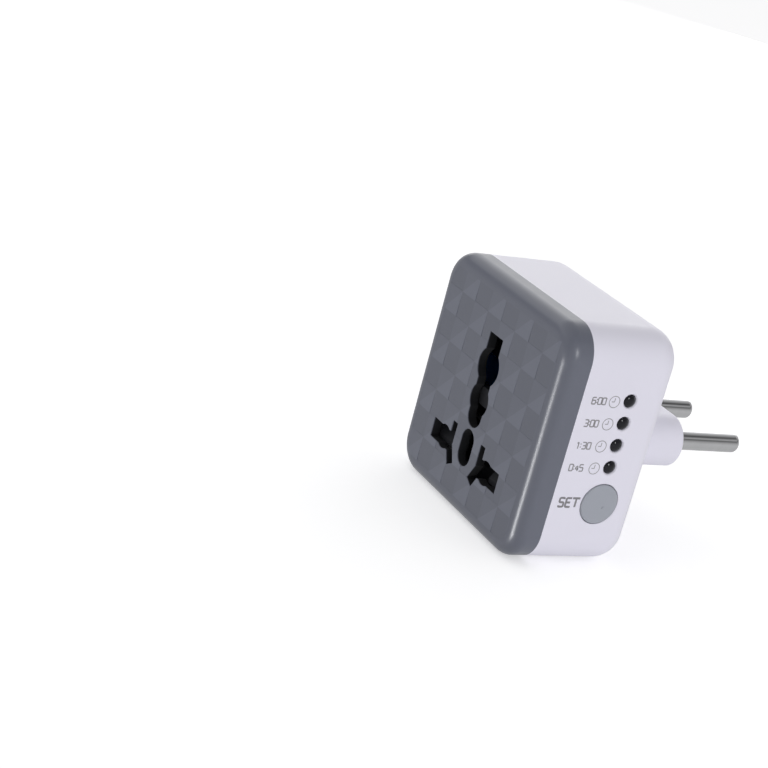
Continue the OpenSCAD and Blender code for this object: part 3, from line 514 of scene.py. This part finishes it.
class Finishes(Enum):
    """Every finish on the timer."""

    COVER = FacetedMoulding("grey_cover", COVER_GREY, roughness=0.31, grain_mm=0.14,
                            grain_depth_mm=0.003, rub=0.04, mottle=0.035)
    HOUSING = Moulding("white_housing", HOUSING_WHITE, roughness=0.38, grain_mm=0.12, mottle=0.012, rub=0.04)
    BUTTON = Moulding("button_grey", BUTTON_GREY, roughness=0.45, grain_mm=0.10, mottle=0.03)
    SHUTTER = Moulding("shutter_dark", (0.022, 0.023, 0.027), roughness=0.5, gloss=0.2)
    CARRIER = Moulding("carrier_black", (0.012, 0.012, 0.015), roughness=0.6, gloss=0.12)
    INSULATOR = Moulding("insulator_ivory", (0.72, 0.69, 0.60), roughness=0.45)
    BLACK = Moulding("black_plastic", (0.018, 0.018, 0.02), roughness=0.4)
    CHIP = Moulding("moulded_package", (0.016, 0.016, 0.018), roughness=0.55, grain_mm=0.08)
    RELAY_BASE = Moulding("relay_base_blue", (0.02, 0.045, 0.12), roughness=0.4)
    RELAY_SHELL = Moulding("relay_shell_blue", (0.025, 0.11, 0.36), roughness=0.25, coat=0.3)
    FILM_CASE = Moulding("film_case_yellow", (0.66, 0.40, 0.04), roughness=0.3, coat=0.2)
    SLEEVE = Moulding("capacitor_sleeve", (0.018, 0.026, 0.07), roughness=0.22, coat=0.4, flow_mm=3.0)
    GLASS_BODY = Moulding("zener_body", (0.52, 0.13, 0.04), roughness=0.15, coat=0.6)
    LACQUER_GREEN = Moulding("resistor_green", (0.11, 0.26, 0.20), roughness=0.35, coat=0.2)
    LACQUER_TAN = Moulding("resistor_tan", (0.52, 0.36, 0.19), roughness=0.35, coat=0.2)
    DIPPED_BLUE = Moulding("varistor_blue", (0.02, 0.08, 0.34), roughness=0.2, coat=0.4, flow_mm=2.0)
    NICKEL = Plating("nickel_pin", (0.69, 0.695, 0.71), roughness=0.08, uneven=0.06)
    ZINC = Plating("zinc_screw", (0.60, 0.60, 0.61), roughness=0.28, stretch=UNSTRETCHED, line_mm=0.3)
    BRONZE = Plating("bronze_contact", (0.80, 0.56, 0.26), roughness=0.25, stretch=(0.1, 1.0, 1.0))
    IRON = Plating("plated_iron", (0.50, 0.50, 0.50), roughness=0.35, stretch=UNSTRETCHED, line_mm=0.4)
    SOLDER = Plating("solder", (0.62, 0.62, 0.64), roughness=0.3, stretch=UNSTRETCHED, line_mm=0.5)
    LENS = Lens("lamp_lens", (0.008, 0.008, 0.011), roughness=0.07)
    INK_WORD = Ink("word_ink", (0.22, 0.215, 0.23))
    INK_TIME = Ink("time_ink", (0.27, 0.265, 0.28))
    INK_CLOCK = Ink("clock_ink", (0.28, 0.275, 0.29))
    BAND_INK = Ink("band_ink", (0.62, 0.62, 0.60))
    BAND_BROWN = Ink("band_brown", (0.09, 0.03, 0.012))
    BAND_BLACK = Ink("band_black", (0.012, 0.012, 0.013))
    BAND_GOLD = Ink("band_gold", (0.46, 0.30, 0.07))
    BOARD = SolderMask("solder_mask", (0.015, 0.085, 0.04))
    WIRE = Winding("copper_winding", (0.62, 0.25, 0.10))


NODE_FINISHES: dict[Finishes, tuple[str, ...]] = {
    Finishes.COVER: ("front_cover",),
    Finishes.HOUSING: ("rear_housing",),
    Finishes.BUTTON: ("set_button",),
    Finishes.SHUTTER: ("safety_shutter",),
    Finishes.CARRIER: ("contact_carrier",),
    Finishes.INSULATOR: ("pin_retainer",),
    Finishes.BLACK: ("tact_switch_body", "tact_plunger", "led_holder", "rectifier_diodes"),
    Finishes.CHIP: ("controller_chip", "driver_transistor"),
    Finishes.RELAY_BASE: ("relay_base",),
    Finishes.RELAY_SHELL: ("relay_cover",),
    Finishes.FILM_CASE: ("film_capacitor",),
    Finishes.SLEEVE: ("electrolytic_capacitor",),
    Finishes.GLASS_BODY: ("zener_diode",),
    Finishes.LACQUER_GREEN: ("fusible_resistor",),
    Finishes.LACQUER_TAN: ("bleed_resistors",),
    Finishes.DIPPED_BLUE: ("varistor",),
    Finishes.NICKEL: ("line_pin", "neutral_pin"),
    Finishes.ZINC: ("housing_screws", "retainer_screw", "carrier_screws", "shutter_springs"),
    Finishes.BRONZE: ("line_contact", "neutral_contact", "header_pins", "relay_contact"),
    Finishes.IRON: ("relay_yoke", "relay_armature"),
    Finishes.LENS: ("led_1", "led_2", "led_3", "led_4"),
    Finishes.BOARD: ("main_pcb", "control_pcb"),
    Finishes.WIRE: ("relay_coil",),
}


def dress_frame() -> None:
    """Gives every piece of the frame its finish."""
    for finish, nodes in NODE_FINISHES.items():
        for node in nodes:
            slots = frame["nodes"][node].data.materials
            slots.clear()
            slots.append(finish.value.material())
        log.info("finish %s on %s", finish.value.name, ", ".join(nodes))


# ---- mesh helpers


def centre_mm(node: str) -> Vector:
    """The middle of a frame piece's box, in millimetres."""
    low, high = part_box(node)
    return (low + high) / 2 / MM


def separate_boxes(node: str) -> list[tuple[Vector, Vector]]:
    """The lowest and highest corners of each separate solid in a frame piece, in millimetres."""
    mesh = bmesh.new()
    mesh.from_mesh(frame["nodes"][node].data)
    bmesh.ops.remove_doubles(mesh, verts=mesh.verts, dist=SAME_PLACE_M)
    left = set(mesh.verts)
    boxes = []
    while left:
        island = {left.pop()}
        edge = list(island)
        while edge:
            for link in edge.pop().link_edges:
                for vertex in link.verts:
                    if vertex in left:
                        left.remove(vertex)
                        island.add(vertex)
                        edge.append(vertex)
        places = [vertex.co / MM for vertex in island]
        low, high = (Vector(limit(place[i] for place in places) for i in range(3)) for limit in (min, max))
        boxes.append((low, high))
    mesh.free()
    return sorted(boxes, key=lambda box: tuple(box[0]))


def put_on_case(name: str, data: bpy.types.Mesh, finish: Finishes) -> bpy.types.Object:
    """Makes an object of mesh data in metres, in one finish, that rides on the case."""
    data.materials.clear()
    data.materials.append(finish.value.material())
    piece = bpy.data.objects.new(name, data)
    bpy.context.scene.collection.objects.link(piece)
    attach(piece, CASE_BODY)
    return piece


def add_piece(name: str, mesh: bmesh.types.BMesh, finish: Finishes,
              smooth: bool = False) -> bpy.types.Object:
    """Makes an object of a mesh given in millimetres and lets it ride on the case.

    Args:
        name: The piece's name.
        mesh: Its shape in millimetres; it is freed.
        finish: The finish that it wears.
        smooth: Whether its faces are shaded smooth.

    Returns:
        The new object.
    """
    bmesh.ops.scale(mesh, vec=(MM, MM, MM), verts=mesh.verts)
    bmesh.ops.recalc_face_normals(mesh, faces=mesh.faces)
    for face in mesh.faces:
        face.smooth = smooth
    data = bpy.data.meshes.new(name)
    mesh.to_mesh(data)
    mesh.free()
    return put_on_case(name, data, finish)


def add_copy(name: str, data: bpy.types.Mesh, finish: Finishes, node: str) -> bpy.types.Object:
    """Lets a reworked copy of a frame piece's mesh stand for that piece.

    Args:
        name: The copy's name.
        data: The reworked mesh, in metres.
        finish: The finish that it wears.
        node: The frame piece that it stands for.

    Returns:
        The new object, on the case.
    """
    piece = put_on_case(name, data, finish)
    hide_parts(node)
    return piece


def add_skin(mesh: bmesh.types.BMesh, rings: Sequence[list[bmesh.types.BMVert]], closed: bool) -> None:
    """Joins rings of equally many vertices into one shape.

    Args:
        mesh: Where the faces go.
        rings: The rings, in order.
        closed: Whether the last ring joins the first; otherwise a face closes each end.
    """
    count = len(rings[0])
    pairs = list(zip(rings, rings[1:]))
    if closed:
        pairs.append((rings[-1], rings[0]))
    for ring, following in pairs:
        for i in range(count):
            j = (i + 1) % count
            mesh.faces.new((ring[i], ring[j], following[j], following[i]))
    if not closed:
        mesh.faces.new(rings[0])
        mesh.faces.new(rings[-1][::-1])


def add_lathe(mesh: bmesh.types.BMesh, profile: Sequence[Point],
              place: Callable[[float, float, float], Vector], sides: int = 24) -> None:
    """Turns a closed profile of (radius, height) points about an axis.

    Args:
        mesh: Where the turned shape goes.
        profile: The points of the profile, on the axis or off it.
        place: Turns (along one direction across the axis, along the other, along the axis) into a point.
        sides: The number of steps round the axis.
    """
    rings = []
    for step in range(sides):
        turn = 2 * math.pi * step / sides
        rings.append([mesh.verts.new(place(r * math.cos(turn), r * math.sin(turn), h)) for r, h in profile])
    add_skin(mesh, rings, True)
    bmesh.ops.remove_doubles(mesh, verts=mesh.verts, dist=SAME_PLACE_MM)


# ---- printed marks


@dataclass(frozen=True)
class Stroke:
    """A pen line through points, in a cell that is one unit high."""

    points: tuple[Point, ...]
    closed: bool = False

    def rounded(self, radius: float, steps: int = 4, leg_share: float = 0.45) -> list[Point]:
        """The line's points with each corner turned into an arc.

        Args:
            radius: The arc's radius, where the lines that meet are long enough.
            steps: The number of pieces in each arc.
            leg_share: The longest share of a line that an arc at its end may take.

        Returns:
            The points of the rounded line.
        """
        corners = self.points
        count = len(corners)
        path: list[Point] = []
        for i, corner in enumerate(corners):
            if not self.closed and i in (0, count - 1):
                path.append(corner)
                continue
            here = Vector(corner)
            back = Vector(corners[i - 1]) - here
            on = Vector(corners[(i + 1) % count]) - here
            half = back.angle(on) / 2
            reach = min(radius / math.tan(half), back.length * leg_share, on.length * leg_share)
            bend = reach * math.tan(half)
            back.normalize()
            on.normalize()
            middle = here + (back + on).normalized() * bend / math.sin(half)
            first, last = here + back * reach - middle, here + on * reach - middle
            for step in range(steps + 1):
                share = step / steps
                leg = (first * (1 - share) + last * share).normalized() * bend
                path.append(tuple(middle + leg))
        return path


@dataclass(frozen=True)
class Glyph:
    """One character: its width as a share of its height, and its pen lines."""

    width: float
    strokes: tuple[Stroke, ...]


LOW, MID, TOP = 0.0, 0.5, 1.0
DIGIT = 0.5
CAPITAL = 0.44
GLYPHS: dict[str, Glyph] = {
    "0": Glyph(DIGIT, (Stroke(((0, LOW), (DIGIT, LOW), (DIGIT, TOP), (0, TOP)), True),)),
    "1": Glyph(0.3, (Stroke(((0, 0.8), (0.2, TOP), (0.2, LOW))),)),
    "3": Glyph(DIGIT, (Stroke(((0, TOP), (DIGIT, TOP), (DIGIT, LOW), (0, LOW))),
                       Stroke(((0.12, MID), (DIGIT, MID))))),
    "4": Glyph(DIGIT, (Stroke(((0.36, LOW), (0.36, TOP), (0, 0.3), (DIGIT, 0.3))),)),
    "5": Glyph(DIGIT, (Stroke(((DIGIT, TOP), (0, TOP), (0, 0.56), (DIGIT, 0.56), (DIGIT, LOW), (0, LOW))),)),
    "6": Glyph(DIGIT, (Stroke(((DIGIT, TOP), (0, TOP), (0, LOW), (DIGIT, LOW), (DIGIT, 0.56), (0, 0.56))),)),
    ":": Glyph(0.1, (Stroke(((0.05, 0.2), (0.05, 0.34))), Stroke(((0.05, 0.66), (0.05, 0.8))))),
    "S": Glyph(CAPITAL, (Stroke(((CAPITAL, 0.86), (CAPITAL, TOP), (0, TOP), (0, MID), (CAPITAL, MID),
                                 (CAPITAL, LOW), (0, LOW), (0, 0.14))),)),
    "E": Glyph(CAPITAL, (Stroke(((0.5, TOP), (0, TOP), (0, LOW), (0.5, LOW))),
                         Stroke(((0, MID), (0.42, MID))))),
    "T": Glyph(0.6, (Stroke(((-0.07, TOP), (0.67, TOP))), Stroke(((0.3, TOP), (0.3, LOW))))),
}


@dataclass(frozen=True)
class Print:
    """Printing on the right side face: flat ink lines a hair above the plastic."""

    face_x: float
    lift: float = 0.006
    ink: float = 0.012
    layer: float = 0.004
    corner: float = 0.12
    ring_steps: int = 40

    def line(self, mesh: bmesh.types.BMesh, path: Sequence[Point], width: float, closed: bool,
             over: int = 0) -> None:
        """Adds one ink line.

        Args:
            mesh: Where the line goes.
            path: Its points as (Y, Z) in millimetres.
            width: Its width.
            closed: Whether it runs back to its start.
            over: How many lines of the same character lie under it.
        """
        count = len(path)
        low = self.face_x + self.lift
        high = low + self.ink + self.layer * over
        rows = []
        for i, here in enumerate(path):
            before = path[i - 1] if i or closed else None
            after = path[(i + 1) % count] if i < count - 1 or closed else None
            ways = [Vector(b) - Vector(a) for a, b in ((before, here), (here, after)) if a and b]
            ways = [way.normalized() for way in ways]
            across = sum((Vector((-way.y, way.x)) for way in ways), Vector((0, 0))).normalized()
            reach = width / 2 / across.dot(Vector((-ways[0].y, ways[0].x)))
            edge = [Vector(here) + across * reach * side for side in (1, -1)]
            rows.append([mesh.verts.new((x, *e)) for x, e in
                         ((low, edge[0]), (high, edge[0]), (high, edge[1]), (low, edge[1]))])
        add_skin(mesh, rows, closed)

    def text(self, words: str, left: float, low: float, height: float, width: float,
             pen: float) -> bmesh.types.BMesh:
        """Sets a line of characters into a given width.

        Args:
            words: The characters.
            left: Y of the left edge.
            low: Z of the foot of the characters.
            height: Their height.
            width: The width of the whole line.
            pen: The width of the pen line.

        Returns:
            The printed shape.
        """
        mesh = bmesh.new()
        glyphs = [GLYPHS[letter] for letter in words]
        inked = sum(glyph.width for glyph in glyphs) * height
        gap = (width - pen - inked) / (len(glyphs) - 1)
        pen_y = left + pen / 2
        rise = (height - pen) / height
        for glyph in glyphs:
            for over, stroke in enumerate(glyph.strokes):
                path = [(pen_y + u * height, low + pen / 2 + v * height * rise)
                        for u, v in stroke.rounded(self.corner)]
                self.line(mesh, path, pen, stroke.closed, over)
            pen_y += glyph.width * height + gap
        return mesh

    def clock(self, middle: Point, radius: float, pen: float, hands: Iterable[Point]) -> bmesh.types.BMesh:
        """A clock symbol: a ring and two hands that meet in the middle.

        Args:
            middle: (Y, Z) of its centre.
            radius: Outer radius of the ring.
            pen: The width of the pen line.
            hands: Each hand's tip from the centre, as a share of the radius.

        Returns:
            The printed shape.
        """
        mesh = bmesh.new()
        turns = [2 * math.pi * i / self.ring_steps for i in range(self.ring_steps)]
        rim = radius - pen / 2
        ring = [(middle[0] + rim * math.cos(a), middle[1] + rim * math.sin(a)) for a in turns]
        self.line(mesh, ring, pen, True)
        for over, (y, z) in enumerate(hands):
            self.line(mesh, [middle, (middle[0] + y * radius, middle[1] + z * radius)], pen, False, over)
        return mesh


@dataclass
class SideMarks:
    """The printing beside the lamps and the button."""

    times: tuple[str, ...] = ("6:00", "3:00", "1:30", "0:45")
    text_height: float = 1.75
    text_width: float = 3.7
    text_pen: float = 0.27
    text_back: float = 9.65
    icon_back: float = 3.95
    icon_radius: float = 1.36
    icon_pen: float = 0.16
    drop: float = 0.3
    row_slip: float = 0.24
    set_height: float = 2.5
    set_width: float = 5.3
    set_pen: float = 0.46
    set_slip: float = 0.35
    set_lift: float = 0.15
    hands: tuple[Point, ...] = ((0.0, 0.62), (-0.5, 0.0))

    def build(self) -> None:
        """Prints a time and a clock beside each lamp, and SET beside the button."""
        face = Print(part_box("rear_housing")[1].x / MM)
        for row, words in enumerate(self.times):
            lamp = centre_mm(f"led_{row + 1}")
            level = lamp.z - self.drop
            left = lamp.y - self.text_back - self.row_slip * row
            text = face.text(words, left, level - self.text_height / 2, self.text_height, self.text_width,
                             self.text_pen)
            add_piece(f"print_time_{row + 1}", text, Finishes.INK_TIME)
            middle = (lamp.y - self.icon_back, level)
            clock = face.clock(middle, self.icon_radius, self.icon_pen, self.hands)
            add_piece(f"print_clock_{row + 1}", clock, Finishes.INK_CLOCK)
        button = centre_mm("set_button")
        low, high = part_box("set_button")
        button_radius = (high.z - low.z) / 2 / MM
        left = button.y - button_radius + self.set_slip - self.set_width
        foot = button.z - self.set_height / 2 + self.set_lift
        words = face.text("SET", left, foot, self.set_height, self.set_width, self.set_pen)
        add_piece("print_set", words, Finishes.INK_WORD)
        log.info("printed %d times and SET", len(self.times))


# ---- cover


@dataclass
class ShallowCover:
    """The cover as it leaves its mould, where the facets are an eighth as high as in the frame."""

    node: str = "front_cover"
    share: float = 0.125
    half: float = 23.05
    corner: float = 3.85
    deepest: float = 0.26

    def depth(self, point: Vector) -> float:
        """How far a point in metres lies behind the face, in millimetres."""
        return point.y / MM - FACE_Y

    def on_facets(self, point: Vector) -> bool:
        """Whether a point in metres lies on the facets, which fill a square with round corners."""
        flat = self.half - self.corner
        beyond = [max(abs(way) - flat, 0.0) for way in (point.x / MM, point.z / MM - FACE_MIDDLE_Z)]
        return math.hypot(*beyond) < self.corner and self.depth(point) < self.deepest

    def build(self) -> None:
        """A copy of the frame's cover, pressed flat on its facets, stands for it."""
        source = frame["nodes"][self.node].data
        data = source.copy()
        for vertex in data.vertices:
            if self.on_facets(vertex.co):
                vertex.co.y = (FACE_Y + self.depth(vertex.co) * self.share) * MM
        data.update()
        normals = [corner.vector.copy() for corner in source.corner_normals]
        for face, before in zip(data.polygons, source.polygons):
            if all(self.on_facets(source.vertices[i].co) for i in before.vertices):
                for corner in face.loop_indices:
                    normals[corner] = face.normal.copy()
        data.normals_split_custom_set(normals)
        add_copy("shallow_cover", data, Finishes.COVER, self.node)
        log.info("cover with shallow facets")


@dataclass
class ShutterCoils:
    """The shutter's return springs, which shorten as the shutter opens; the copy here keeps the frame's
    length.
    """

    node: str = "shutter_springs"
    joint: str = "shutter_slide"

    def build(self) -> None:
        """A copy of the frame's springs stands for them."""
        low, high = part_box(self.node)
        joints = frame["record"]["behaviour"]["joints"]
        travel = next(joint["range_m"][1] for joint in joints if joint["name"] == self.joint)
        data = frame["nodes"][self.node].data.copy()
        coils = add_copy("shutter_coils", data, Finishes.ZINC, self.node)
        1 - travel / (high.z - low.z)
        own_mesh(coils)
        log.info("shutter springs that shorten by %.1f mm", travel / MM)


# ---- lamp domes


@dataclass
class LampDomes:
    """The crowned ends of the lamps, which fill their holes up to the face."""

    count: int = 4
    flange: float = 0.4
    play: float = 0.03
    root: float = 4.0
    shoulder: float = 0.6
    proud: float = 0.27
    arc_steps: int = 10
    sides: int = 40

    def build(self) -> None:
        """One dome round the end of each lamp."""
        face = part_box("rear_housing")[1].x / MM
        for number in range(1, self.count + 1):
            node = f"led_{number}"
            low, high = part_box(node)
            middle = centre_mm(node)
            radius = (high.z - low.z) / 2 / MM - self.flange + self.play
            edge = face - self.shoulder
            crown = self.shoulder + self.proud
            turns = [math.pi / 2 * step / self.arc_steps for step in range(self.arc_steps + 1)]
            arc = [(radius * math.cos(a), edge + crown * math.sin(a)) for a in turns]
            mesh = bmesh.new()
            profile = [(0.0, face - self.root), (radius, face - self.root), *arc]
            add_lathe(mesh, profile, lambda a, b, h, m=middle: Vector((h, m.y + a, m.z + b)), self.sides)
            add_piece(f"lamp_dome_{number}", mesh, Finishes.LENS, smooth=True)
        log.info("%d lamp domes", self.count)


# ---- small inner pieces


@dataclass(frozen=True)
class Banded:
    """A part that stands on end on the board, with a lead folded down beside it, and its printed bands."""

    node: str
    slot: str
    height: float
    bands: tuple[tuple[float, Finishes], ...]
    foot: float = 1.2
    band_width: float = 0.5
    thickness: float = 0.03

    def build(self) -> None:
        """Rings of ink round each body of the node."""
        for number, (low, high) in enumerate(separate_boxes(self.node), 1):
            radius = (high.z - low.z) / 2
            middle = Vector((low.x + radius, 0.0, (low.z + high.z) / 2))
            for place, (share, finish) in enumerate(self.bands, 1):
                start = low.y + self.foot + share * self.height - self.band_width / 2
                stop = start + self.band_width
                inner, outer = radius - self.thickness, radius + self.thickness
                profile = ((inner, start), (outer, start), (outer, stop), (inner, stop))
                mesh = bmesh.new()
                add_lathe(mesh, profile, lambda a, b, h, m=middle: Vector((m.x + a, h, m.z + b)))
                add_piece(f"band_{self.node}_{number}_{place}", mesh, finish)


@dataclass
class BoardWork:
    """Solder and colour bands on what stands on the power board."""

    banded: tuple[Banded, ...] = (
        Banded("fusible_resistor", "resistor_green", 8.0,
               ((0.2, Finishes.BAND_BROWN), (0.36, Finishes.BAND_BLACK), (0.52, Finishes.BAND_BLACK),
                (0.8, Finishes.BAND_GOLD))),
        Banded("bleed_resistors", "resistor_tan", 5.6,
               ((0.18, Finishes.BAND_BROWN), (0.36, Finishes.BAND_BLACK), (0.54, Finishes.BAND_BROWN),
                (0.82, Finishes.BAND_GOLD))),
        Banded("rectifier_diodes", "black_plastic", 4.6, ((0.84, Finishes.BAND_INK),)),
        Banded("zener_diode", "zener_glass", 3.6, ((0.8, Finishes.BAND_BLACK),)),
    )
    stub_radius: float = 1.9
    stub_play: float = 0.12
    fillet_width: float = 0.85
    fillet_crest: Pair = (0.4, 0.2)
    board_gap: float = 0.02
    stripe_gap: float = 0.02
    stripe_foot: float = 2.4
    stripe_head: float = 0.6
    stripe_thickness: float = 0.03
    stripe_spread: float = 26.0
    stripe_steps: int = 8

    def solder(self) -> None:
        """A solder fillet round each pin stub behind the board."""
        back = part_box("main_pcb")[1].y / MM
        places = [(centre_mm(n).x, centre_mm(n).z, self.stub_radius) for n in ("line_pin", "neutral_pin")]
        for number, (x, z, core) in enumerate(places):
            mesh = bmesh.new()
            level = back + self.board_gap
            crest_out, crest_up = self.fillet_crest
            profile = ((core + self.stub_play, level), (core + self.fillet_width, level),
                       (core + crest_out, back + crest_up))
            add_lathe(mesh, profile, lambda a, b, h, x=x, z=z: Vector((x + a, h, z + b)))
            add_piece(f"solder_{number + 1}", mesh, Finishes.SOLDER, smooth=True)

    def stripe(self) -> None:
        """The stripe on the tall capacitor that marks its negative side."""
        low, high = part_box("electrolytic_capacitor")
        middle = (low + high) / 2 / MM
        inner = (high.x - low.x) / 2 / MM + self.stripe_gap
        outer = inner + self.stripe_thickness
        start, stop = low.y / MM + self.stripe_foot, high.y / MM - self.stripe_head
        section = ((inner, start), (inner, stop), (outer, stop), (outer, start))
        spread = math.radians(self.stripe_spread)
        mesh = bmesh.new()
        rows = []
        for step in range(self.stripe_steps + 1):
            turn = -math.pi / 2 - spread + 2 * spread * step / self.stripe_steps
            rows.append([mesh.verts.new((middle.x + r * math.cos(turn), y, middle.z + r * math.sin(turn)))
                         for r, y in section])
        add_skin(mesh, rows, False)
        add_piece("capacitor_stripe", mesh, Finishes.BAND_INK)

    def build(self) -> None:
        """All of it."""
        self.solder()
        self.stripe()
        for part in self.banded:
            part.build()
        log.info("solder and bands on the power board")


# ---- studio


class Rays(Enum):
    """What a lamp lights: (matt shading, gloss)."""

    MATT = (True, False)
    GLOSS = (False, True)


@dataclass(frozen=True)
class Lamp:
    """A soft box that looks at the middle of the timer; its lengths are metres."""

    name: str
    azimuth: float
    elevation: float
    distance: float
    width: float
    height: float
    glow: float
    rays: Rays

    def build(self, target: Vector) -> None:
        """Puts the lamp at its angles round the target."""
        way = way_out(self.azimuth, self.elevation)
        data = bpy.data.lights.new(self.name, "AREA")
        data.shape = "RECTANGLE"
        data.size = self.width
        data.size_y = self.height
        data.energy = self.glow * math.pi * self.width * self.height
        lamp = bpy.data.objects.new(self.name, data)
        lamp.location = target + way * self.distance
        lamp.rotation_euler = way.to_track_quat("Z", "Y").to_euler()
        lamp.visible_camera = False
        lamp.visible_diffuse, lamp.visible_glossy = self.rays.value
        bpy.context.scene.collection.objects.link(lamp)


@dataclass
class Studio:
    """Pale floor, white surround, soft boxes and the camera.

    Its lengths are metres, but for camera_place, which is in millimetres, as are the lens and the sensor.
    """

    floor_size: float = 6.0
    floor_paint: Colour = (0.86, 0.86, 0.87)
    floor_glow: float = 0.47
    ambient: float = 0.55
    reflected: tuple[tuple[float, Colour], ...] = (
        (0.0, (0.52, 0.52, 0.52)), (0.40, (0.58, 0.58, 0.59)), (0.55, (0.44, 0.44, 0.45)),
        (0.70, (0.14, 0.14, 0.16)), (0.78, (0.46, 0.46, 0.47)), (0.87, (0.05, 0.05, 0.06)),
        (1.0, (0.10, 0.10, 0.11)))
    # In reflections the surround brightens towards the left: the X where that starts, its slope along X and
    # the height from which it shows.
    wall_edge: float = 0.30
    wall_slope: float = 0.85
    wall_foot: float = 0.45
    lamps: tuple[Lamp, ...] = (
        Lamp("key_top", azimuth=-20, elevation=62, distance=0.9, width=0.7, height=0.7, glow=0.6,
             rays=Rays.MATT),
        Lamp("side_right", azimuth=84, elevation=-16, distance=0.6, width=0.5, height=0.4, glow=2.95,
             rays=Rays.MATT),
        Lamp("front_fill", azimuth=-35, elevation=0, distance=1.0, width=0.5, height=0.5, glow=2.0,
             rays=Rays.MATT),
        Lamp("back_fill", azimuth=-145, elevation=5, distance=1.0, width=0.6, height=0.6, glow=2.6,
             rays=Rays.MATT),
        Lamp("strip_front", azimuth=4, elevation=-25, distance=1.0, width=0.2, height=0.34, glow=24.0,
             rays=Rays.GLOSS),
        Lamp("spot_side", azimuth=90, elevation=22, distance=1.0, width=0.16, height=0.26, glow=16.0,
             rays=Rays.GLOSS),
        Lamp("wall_back", azimuth=-122, elevation=16, distance=1.0, width=0.9, height=0.6, glow=1.35,
             rays=Rays.GLOSS),
    )
    camera_place: Triple = (324.7, -265.0, 133.5)
    camera_azimuth: float = 58.94
    camera_elevation: float = 18.74
    camera_roll: float = 14.74
    camera_lens: float = 90.02
    camera_sensor: float = 36.0
    camera_near: float = 0.01

    def world(self) -> None:
        """A surround that is white to the camera and a soft grey to the surfaces."""
        world = bpy.data.worlds.new("studio")
        bpy.context.scene.world = world
        graph = Graph(world)
        ray = graph.add("ShaderNodeLightPath", None, None, "Is Camera Ray")
        gloss = graph.add("ShaderNodeLightPath", None, None, "Is Glossy Ray")
        way = graph.add("ShaderNodeTexCoord", None, None, "Generated")
        height = graph.add("ShaderNodeSeparateXYZ", None, {"Vector": way}, "Z")
        level = {"Fac": height * 0.5 + 0.5}
        seen = graph.add("ShaderNodeValToRGB", {"stops": self.reflected}, level, "Color")
        across = graph.add("ShaderNodeSeparateXYZ", None, {"Vector": way}, "X")
        wall = ((self.wall_edge - across) * self.wall_slope).clamped() * (height > self.wall_foot)
        seen = seen + wall
        matt = self.ambient * (height > 0.0)
        strength = matt + gloss * (seen - matt)
        strength = strength + ray * (1.0 - strength)
        shade = graph.add("ShaderNodeBackground", None, {"Color": rgba(WHITE), "Strength": strength})
        graph.add("ShaderNodeOutputWorld", None, {"Surface": shade})

    def floor(self) -> None:
        """A pale floor under the timer that keeps a soft shadow."""
        half = self.floor_size / 2
        level = CAD_BOX[0].z
        mesh = bmesh.new()
        corners = ((-half, -half), (half, -half), (half, half), (-half, half))
        mesh.faces.new([mesh.verts.new((x, y, level)) for x, y in corners])
        data = bpy.data.meshes.new("floor")
        mesh.to_mesh(data)
        mesh.free()
        material = bpy.data.materials.new("pale_floor")
        graph = Graph(material)
        ray = graph.add("ShaderNodeLightPath", None, None, "Is Camera Ray")
        paint = graph.add("ShaderNodeBsdfDiffuse", None, {"Color": rgba(self.floor_paint)})
        light = {"Color": rgba(WHITE), "Strength": ray * self.floor_glow}
        glow = graph.add("ShaderNodeEmission", None, light)
        both = graph.add("ShaderNodeAddShader", None, {0: paint, 1: glow})
        graph.add("ShaderNodeOutputMaterial", None, {"Surface": both})
        data.materials.append(material)
        floor = bpy.data.objects.new("floor", data)
        floor.visible_glossy = False
        floor.visible_shadow = False
        bpy.context.scene.collection.objects.link(floor)

    def camera(self) -> None:
        """The camera, from its place, its two angles and its roll."""
        turn = math.radians(self.camera_azimuth)
        back = way_out(self.camera_azimuth, self.camera_elevation)
        right = Vector((math.cos(turn), math.sin(turn), 0.0))
        up = back.cross(right)
        level = Matrix((right, up, back)).transposed().to_4x4()
        data = bpy.data.cameras.new("camera")
        data.lens = self.camera_lens
        data.sensor_width = self.camera_sensor
        data.clip_start = self.camera_near
        camera = bpy.data.objects.new("camera", data)
        camera.matrix_world = (Matrix.Translation(Vector(self.camera_place) * MM) @ level
                               @ Matrix.Rotation(math.radians(self.camera_roll), 4, "Z"))
        bpy.context.scene.collection.objects.link(camera)
        bpy.context.scene.camera = camera

    def build(self) -> None:
        """All of it, with plain colour handling."""
        bpy.context.scene.view_settings.view_transform = "Standard"
        self.camera()
        self.world()
        self.floor()
        target = (CAD_BOX[0] + CAD_BOX[1]) / 2
        for lamp in self.lamps:
            lamp.build(target)
        log.info("studio with %d lamps", len(self.lamps))


def main() -> None:
    """Builds the studio, dresses the frame and adds the printed and small pieces."""
    logging.basicConfig(level=logging.INFO, format="%(name)s: %(message)s")
    Studio().build()
    dress_frame()
    ShallowCover().build()
    ShutterCoils().build()
    SideMarks().build()
    LampDomes().build()
    BoardWork().build()


if __name__ == "__main__":
    main()
